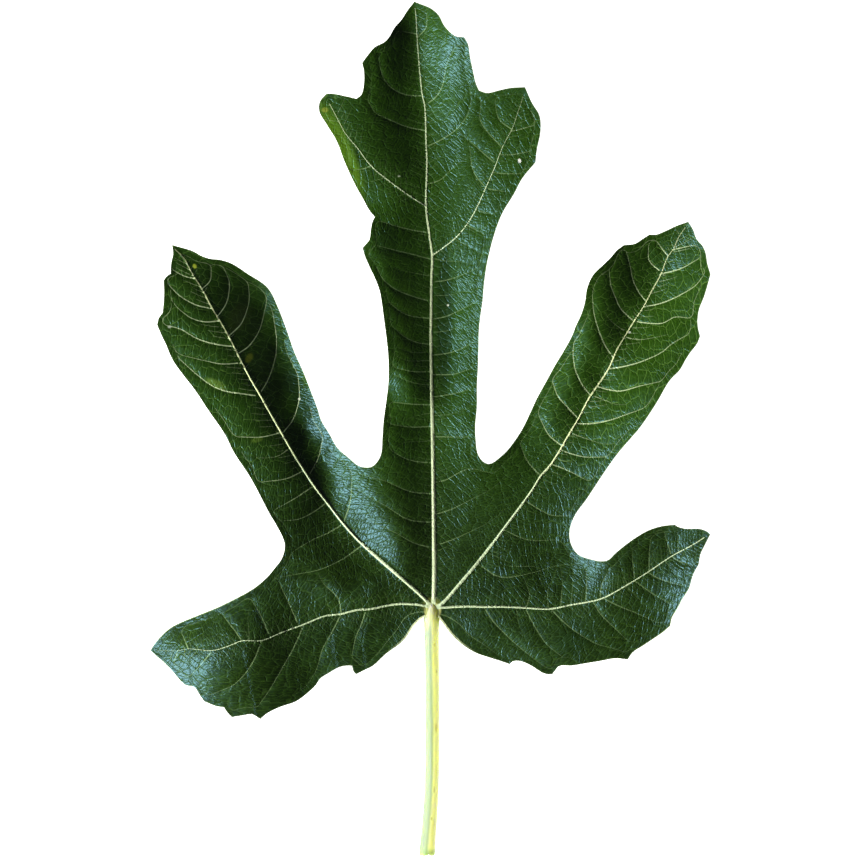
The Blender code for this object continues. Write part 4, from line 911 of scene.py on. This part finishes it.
# small marks of growth, and patches of painted shade and painted light: place and half sizes on the drawing
# sheet, turn in degrees, strength, colour
flat = add(tree, "CombineXYZ", {0: east, 1: north}).outputs[0]
for x, y, wide, tall, turn, strength, stain_and_painted_shading in (
        # painted light: the yellow green band along the left margin of the head, which curls up, in part its
        # own fresher green. Painted shade: the dark patches along the right of the middle rib, below the
        # crease, and low on the right lower lobe. Painted light: the pale patch on the left of the middle
        # lobe.
        (341, 150, 13, 58, 24, 0.8, (0.1, 0.22, 0.007)), (444, 320, 10, 95, 0, 0.7, (0.008, 0.025, 0.0004)),
        (386, 240, 15, 22, 0, 0.45, (0.006, 0.018, 0.0004)),
        (406, 320, 12, 60, 0, 0.4, (0.033, 0.086, 0.002)),
        (575, 640, 26, 16, 20, 0.45, (0.009, 0.028, 0.0005)),
        (194.6, 266.2, 2.2, 3, 20, 0.95, (0.5, 0.62, 0.05)),
        (249, 358, 4, 6.5, -30, 0.8, (0.19, 0.25, 0.015)),
        (238, 318, 12, 20, -30, 0.45, (0.06, 0.11, 0.005)),
        # painted shade: the long dark patch along the inner side of the left upper lobe
        (310, 412, 13, 62, 28, 0.6, (0.006, 0.019, 0.001)), (216, 384, 13, 5, -25, 0.5, (0.16, 0.28, 0.03)),
        (257, 440, 7, 3, 10, 0.45, (0.16, 0.28, 0.03)), (325, 110, 4, 3, 0, 0.6, (0.3, 0.36, 0.04)),
        (170, 327, 2.2, 1.6, 0, 0.85, (0.65, 0.75, 0.6)), (299, 399, 1.6, 1.6, 0, 0.95, (0.8, 0.85, 0.75)),
        (519.5, 161, 1.8, 2.6, 10, 1, (0.9, 0.92, 0.9)), (630, 332, 1.4, 1.4, 0, 0.9, (0.8, 0.85, 0.75)),
        (448, 305, 1.3, 1.3, 0, 0.8, (0.7, 0.76, 0.6)), (399, 176, 1.5, 1.3, 0, 0.7, (0.6, 0.7, 0.5))):
    px, py = sheet(x, y)
    turned = add(tree, "Mapping", {
        "Vector": flat, "Location": (px * 0.001, py * 0.001, 0.0),
        "Rotation": (0.0, 0.0, math.radians(turn)), "Scale": (wide / 3000, tall / 3000, 1.0)},
                 vector_type="TEXTURE").outputs[0]
    away = add(tree, "VectorMath", {0: turned}, operation="LENGTH").outputs["Value"]
    colour = tint(ramp(away, 0.5, 1.1, strength, 0.0), colour, stain_and_painted_shading)

# veins, painted fainter towards the right as painted shade and paler on the outer lobes as painted light;
# rim, hub, and the cream rim beside the stalk
# painted shade: the veins grow fainter towards the right of the leaf
on_vein = times(on_vein, ramp(east, -0.020, 0.020, 1.0, 0.65))
on_rim = times(ramp(north, -0.020, -0.004, 0.25, 0.95), ramp(north, 0.002, 0.012, 1.0, 0.28))
from_hub, from_head = far(place, 0.0, 0.0008, 0.0055), far(place, 0.0002, -0.0004, 0.0056)
colour = laid(colour, (
    (times(on_vein, ramp(outer_painted_light, 0.0, 1.0, 0.62, 1.0)), tint(outer_painted_light, (0.3, 0.44, 0.19), (0.82, 1.0, 0.58))),
    (times(ramp(edge, 0.10, 0.38, 1.0, 0.0), on_rim), (0.26, 0.36, 0.14)),
    (times(ramp(from_hub, 0.0029, 0.0040, 0.9, 0.0), ramp(north, -0.0005, 0.0015)), (0.13, 0.16, 0.03)),
    (ramp(from_head, 0.0024, 0.0031, 0.95, 0.0), (0.62, 0.66, 0.22)),
    (times(ramp(from_hub, 0.0060, 0.0220, 0.95, 0.0), ramp(edge, 0.38, 0.75, 1.0, 0.0)),
     (0.85, 0.94, 0.55))))

# ribs, fainter towards their tips: place of the tip, how far the fading reaches, what is left there
# the ribs of the outer lobes are painted paler: painted light
woody = tint(outer_painted_light, (0.62, 0.76, 0.47), (0.9, 1.0, 0.54))
woody = tint(ramp(sums("ABSOLUTE", east), 0.0012, 0.0022), (0.7, 0.82, 0.5), woody)
for x, y, reach, least in (
        (175, 247, 0.030, 0.45), (688, 224, 0.030, 0.40), (152, 651, 0.034, 0.18),
        (322, 98, 0.026, 0.60), (524, 90, 0.034, 0.35), (416, 3, 0.040, 0.65)):
    px, py = sheet(x, y)
    on_rib = times(on_rib, ramp(far(flat, px * 0.001, py * 0.001), 0.0, reach, least, 1.0))

# satin skin under a thin wax, which the walls of the net and the ribs have less of
rough = ramp(mottled, 0.3, 0.75, 0.34, 0.42)
for share, more in ((on_fine, 0.10), (on_web, 0.10), (on_vein, 0.15), (on_rib, 0.15)):
    rough = sums("ADD", rough, times(share, more))
waxed = times(ramp(on_fine, 0.0, 1.0, 0.75, 0.10), ramp(on_web, 0.0, 1.0, 1.0, 0.5))
normal = relief((crinkle, 1.0, 0.00002), (ramp(web, 0.0, 0.12), 1.0, 0.00005), (grain, 0.5, 0.00002),
                (ramp(fine, 0.0, 0.30), 1.0, 0.00003))
feed(tree, surface, {
    "Base Color": tint(on_rib, colour, woody), "Roughness": rough, "Specular IOR Level": 0.35,
    "Coat Weight": times(waxed, ramp(on_rib, 0.0, 1.0, 1.0, 0.15)), "Coat Roughness": 0.20,
    "Coat Normal": normal, "Normal": normal})

green_below, tree, surface = skin("green_below")
place = add(tree, "TexCoord").outputs["Object"]
fine, wide = walls(place, 900.0), walls(place, 260.0, 0.9)
colour = tint(ramp(noise(place, 60.0, 4.0), 0.35, 0.65), (0.09, 0.165, 0.05), (0.125, 0.215, 0.075))
colour = laid(colour, (
    (times(ramp(fine, 0.02, 0.14, 1.0, 0.0), 0.35), (0.23, 0.33, 0.15)),
    (times(ramp(wide, 0.02, 0.10, 1.0, 0.0), 0.7), (0.24, 0.34, 0.15)),
    (ramp(value_of("vein"), 0.12, 0.50, 0.9, 0.0), (0.32, 0.42, 0.2)),
    (ramp(value_of("rib"), 1.6, 2.2, 1.0, 0.0), (0.52, 0.6, 0.33))))
feed(tree, surface, {
    "Base Color": colour, "Roughness": 0.82, "Specular IOR Level": 0.25,
    "Normal": relief((ramp(wide, 0.0, 0.12, 1.0, 0.0), 0.7, 0.00025),
                     (ramp(fine, 0.0, 0.2, 1.0, 0.0), 0.7, 0.00010),
                     (noise(place, 2600.0, 3.0), 0.7, 0.00006))})

blade.data.materials.append(green_above)
blade.data.materials.append(green_below)
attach(blade, "root")
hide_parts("blade")


# Stalk: one juicy round stem, yellow green, that widens into the hub, where the ribs leave it. Its colour is
# painted greyer and darker on the left, where the lamps fall, and brighter on the right, which they leave in
# shade: painted shade and painted light. It was torn off at the lower end, which is green and fibrous.
# Along its middle: place across the drawing sheet, height, radius, place down the drawing sheet.
STALK = [
    (432.8, 3.90, 1.30, 600.5), (432.7, 3.90, 1.60, 603.0), (432.5, 3.85, 2.00, 606.0),
    (432.2, 3.80, 2.40, 609.5), (431.9, 3.75, 2.72, 614.0), (431.6, 3.45, 2.66, 619.5),
    (431.6, 3.00, 2.48, 630.0), (432.0, 3.20, 2.42, 660.9), (432.3, 3.70, 2.42, 700.9),
    (432.3, 4.00, 2.42, 745.9), (431.9, 3.80, 2.42, 784.9), (430.2, 3.50, 2.46, 815.9),
    (428.2, 3.30, 2.60, 840.9), (427.2, 3.20, 2.72, 852.9), (427.0, 3.20, 2.70, 857.6),
]
path = curve([(*sheet(x, y), z, r) for x, z, r, y in STALK], 2.6)
centre = path[0, :3] * 0.001
bpy.ops.object.select_all(action="DESELECT")
bpy.ops.mesh.primitive_circle_add(vertices=40, radius=path[0, 3] * 0.001, fill_type="NOTHING",
                                  location=tuple(centre), rotation=(math.pi / 2, 0.0, 0.0))
stalk = bpy.context.object
stalk.name = "leaf_stalk"
bpy.ops.object.transform_apply(location=True, rotation=True, scale=True)
bpy.ops.object.mode_set(mode="EDIT")
bpy.ops.mesh.select_all(action="SELECT")
for k in range(1, len(path)):
    move = (path[k, :3] - path[k - 1, :3]) * 0.001
    bpy.ops.mesh.extrude_region_move(TRANSFORM_OT_translate={"value": tuple(move)})
    grow = path[k, 3] / path[k - 1, 3]
    bpy.ops.transform.resize(value=(grow, grow, grow), center_override=tuple(path[k, :3] * 0.001))
bpy.ops.mesh.edge_face_add()
bpy.ops.mesh.inset(thickness=0.0007)
bpy.ops.transform.translate(value=(0.0, 0.0003, 0.0))
bpy.ops.mesh.inset(thickness=0.0008)
bpy.ops.transform.translate(value=(0.0, 0.0002, 0.0))
bpy.ops.object.mode_set(mode="OBJECT")
for part in (stalk.data.vertices, stalk.data.edges, stalk.data.polygons):
    part.foreach_set("select", [False] * len(part))
for edge in stalk.data.edges:
    if all(abs(stalk.data.vertices[i].co.y - path[0, 1] * 0.001) < 1e-6 for i in edge.vertices):
        edge.select = True
        for i in edge.vertices:
            stalk.data.vertices[i].select = True
bpy.ops.object.mode_set(mode="EDIT")
bpy.ops.mesh.edge_face_add()
bpy.ops.mesh.inset(thickness=0.0008)
bpy.ops.mesh.select_all(action="SELECT")
bpy.ops.mesh.normals_make_consistent(inside=False)
bpy.ops.object.mode_set(mode="OBJECT")
smooth = stalk.modifiers.new("smooth", "SUBSURF")
smooth.levels = 2
smooth.render_levels = 2
bpy.ops.object.modifier_apply(modifier="smooth")
spot = np.empty(len(stalk.data.vertices) * 3, dtype=np.float32)
stalk.data.vertices.foreach_get("co", spot)
spot = spot.reshape(-1, 3).astype(float) * 1000.0
mid_x = np.interp(-spot[:, 1], -path[:, 1], path[:, 0])
mid_z = np.interp(-spot[:, 1], -path[:, 1], path[:, 2])
radius = np.interp(-spot[:, 1], -path[:, 1], path[:, 3])
across, up = spot[:, 0] - mid_x, spot[:, 2] - mid_z
around = np.arctan2(up, across)
wave = 0.012 * np.cos(3 * around + 0.03 * spot[:, 1]) + 0.010 * np.cos(7 * around + 1.0)
wave = wave + 0.006 * np.cos(13 * around + 0.05 * spot[:, 1])
torn = ease((-81.0 - spot[:, 1]) / 1.5)
ragged = 0.28 * np.sin(5 * around + 1.3) + 0.20 * np.sin(11 * around) + 0.12 * np.sin(23 * around + 2.0)
spot[:, 0] = mid_x + across * (1.0 + wave - 0.01)
spot[:, 2] = mid_z + up * (1.0 + wave - 0.01)
spot[:, 1] += torn * (0.35 + ragged * np.hypot(across, up) / radius)
stalk.data.vertices.foreach_set("co", (spot * 0.001).astype(np.float32).ravel())
store = stalk.data.attributes.new("side", "FLOAT", "POINT")
store.data.foreach_set("value", (across / radius).astype(np.float32))
bpy.ops.object.shade_smooth_by_angle(angle=math.radians(40))

stalk_skin, tree, surface = skin("stalk_skin")
place = add(tree, "TexCoord").outputs["Object"]
east, north = add(tree, "SeparateXYZ", {0: place}).outputs[:2]
drawn = stretch(place, 1.0, 0.035)
streak = noise(drawn, 1900.0, 3.0)
# across the stem: painted shade on the lit left, darkest at its far edge, and painted light on the shaded
# right
side = sums("ADD", value_of("side"), times(noise(drawn, 420.0, 2.0), 0.35))
colour = laid(tint(ramp(side, 0.00, 0.50), (0.335, 0.405, 0.295), (0.97, 0.99, 0.72)), (
    (ramp(side, -0.95, -0.15, 1.0, 0.0), (0.15, 0.19, 0.155)),
    (ramp(streak, 0.52, 0.80, 0.0, 0.30), (0.48, 0.58, 0.22))))
for x, y, long, strength in (
        (436, 728, 2.2, 0.5), (434, 790, 1.6, 0.45), (431.5, 819, 0.8, 0.6),
        (434.5, 645, 0.8, 0.35), (428.5, 700, 0.6, 0.25), (436.5, 672, 0.7, 0.3)):
    px, py = sheet(x, y)
    away = add(tree, "CombineXYZ", {0: times(sums("SUBTRACT", east, px * 0.001), 1 / 0.00035),
                                    1: times(sums("SUBTRACT", north, py * 0.001), 1 / (0.001 * long))})
    length = add(tree, "VectorMath", {0: away.outputs[0]}, operation="LENGTH").outputs["Value"]
    colour = tint(ramp(length, 0.3, 1.1, strength, 0.0), colour, (0.32, 0.23, 0.07))
colour = laid(colour, (
    (ramp(north, -0.0822, -0.0788, 0.85, 0.0), (0.21, 0.345, 0.135)),
    (ramp(north, -0.0085, 0.0005, 0.0, 0.65), (0.93, 1.0, 0.42)),
    # painted light on the top of the head, which faces away from the lamps
    (ramp(north, 0.0, 0.0016, 0.0, 0.80), (1.0, 1.0, 0.5))))
feed(tree, surface, {
    "Base Color": colour, "Roughness": ramp(streak, 0.3, 0.7, 0.52, 0.66), "Specular IOR Level": 0.2,
    "Subsurface Weight": 0.9, "Subsurface Scale": 1.0, "Subsurface Radius": (0.0070, 0.0075, 0.0030),
    "Normal": relief((streak, 0.5, 0.00008), (noise(place, 1500.0, 2.0), 0.3, 0.00005))})
stalk.data.materials.clear()
stalk.data.materials.append(stalk_skin)
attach(stalk, "root")
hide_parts("petiole")
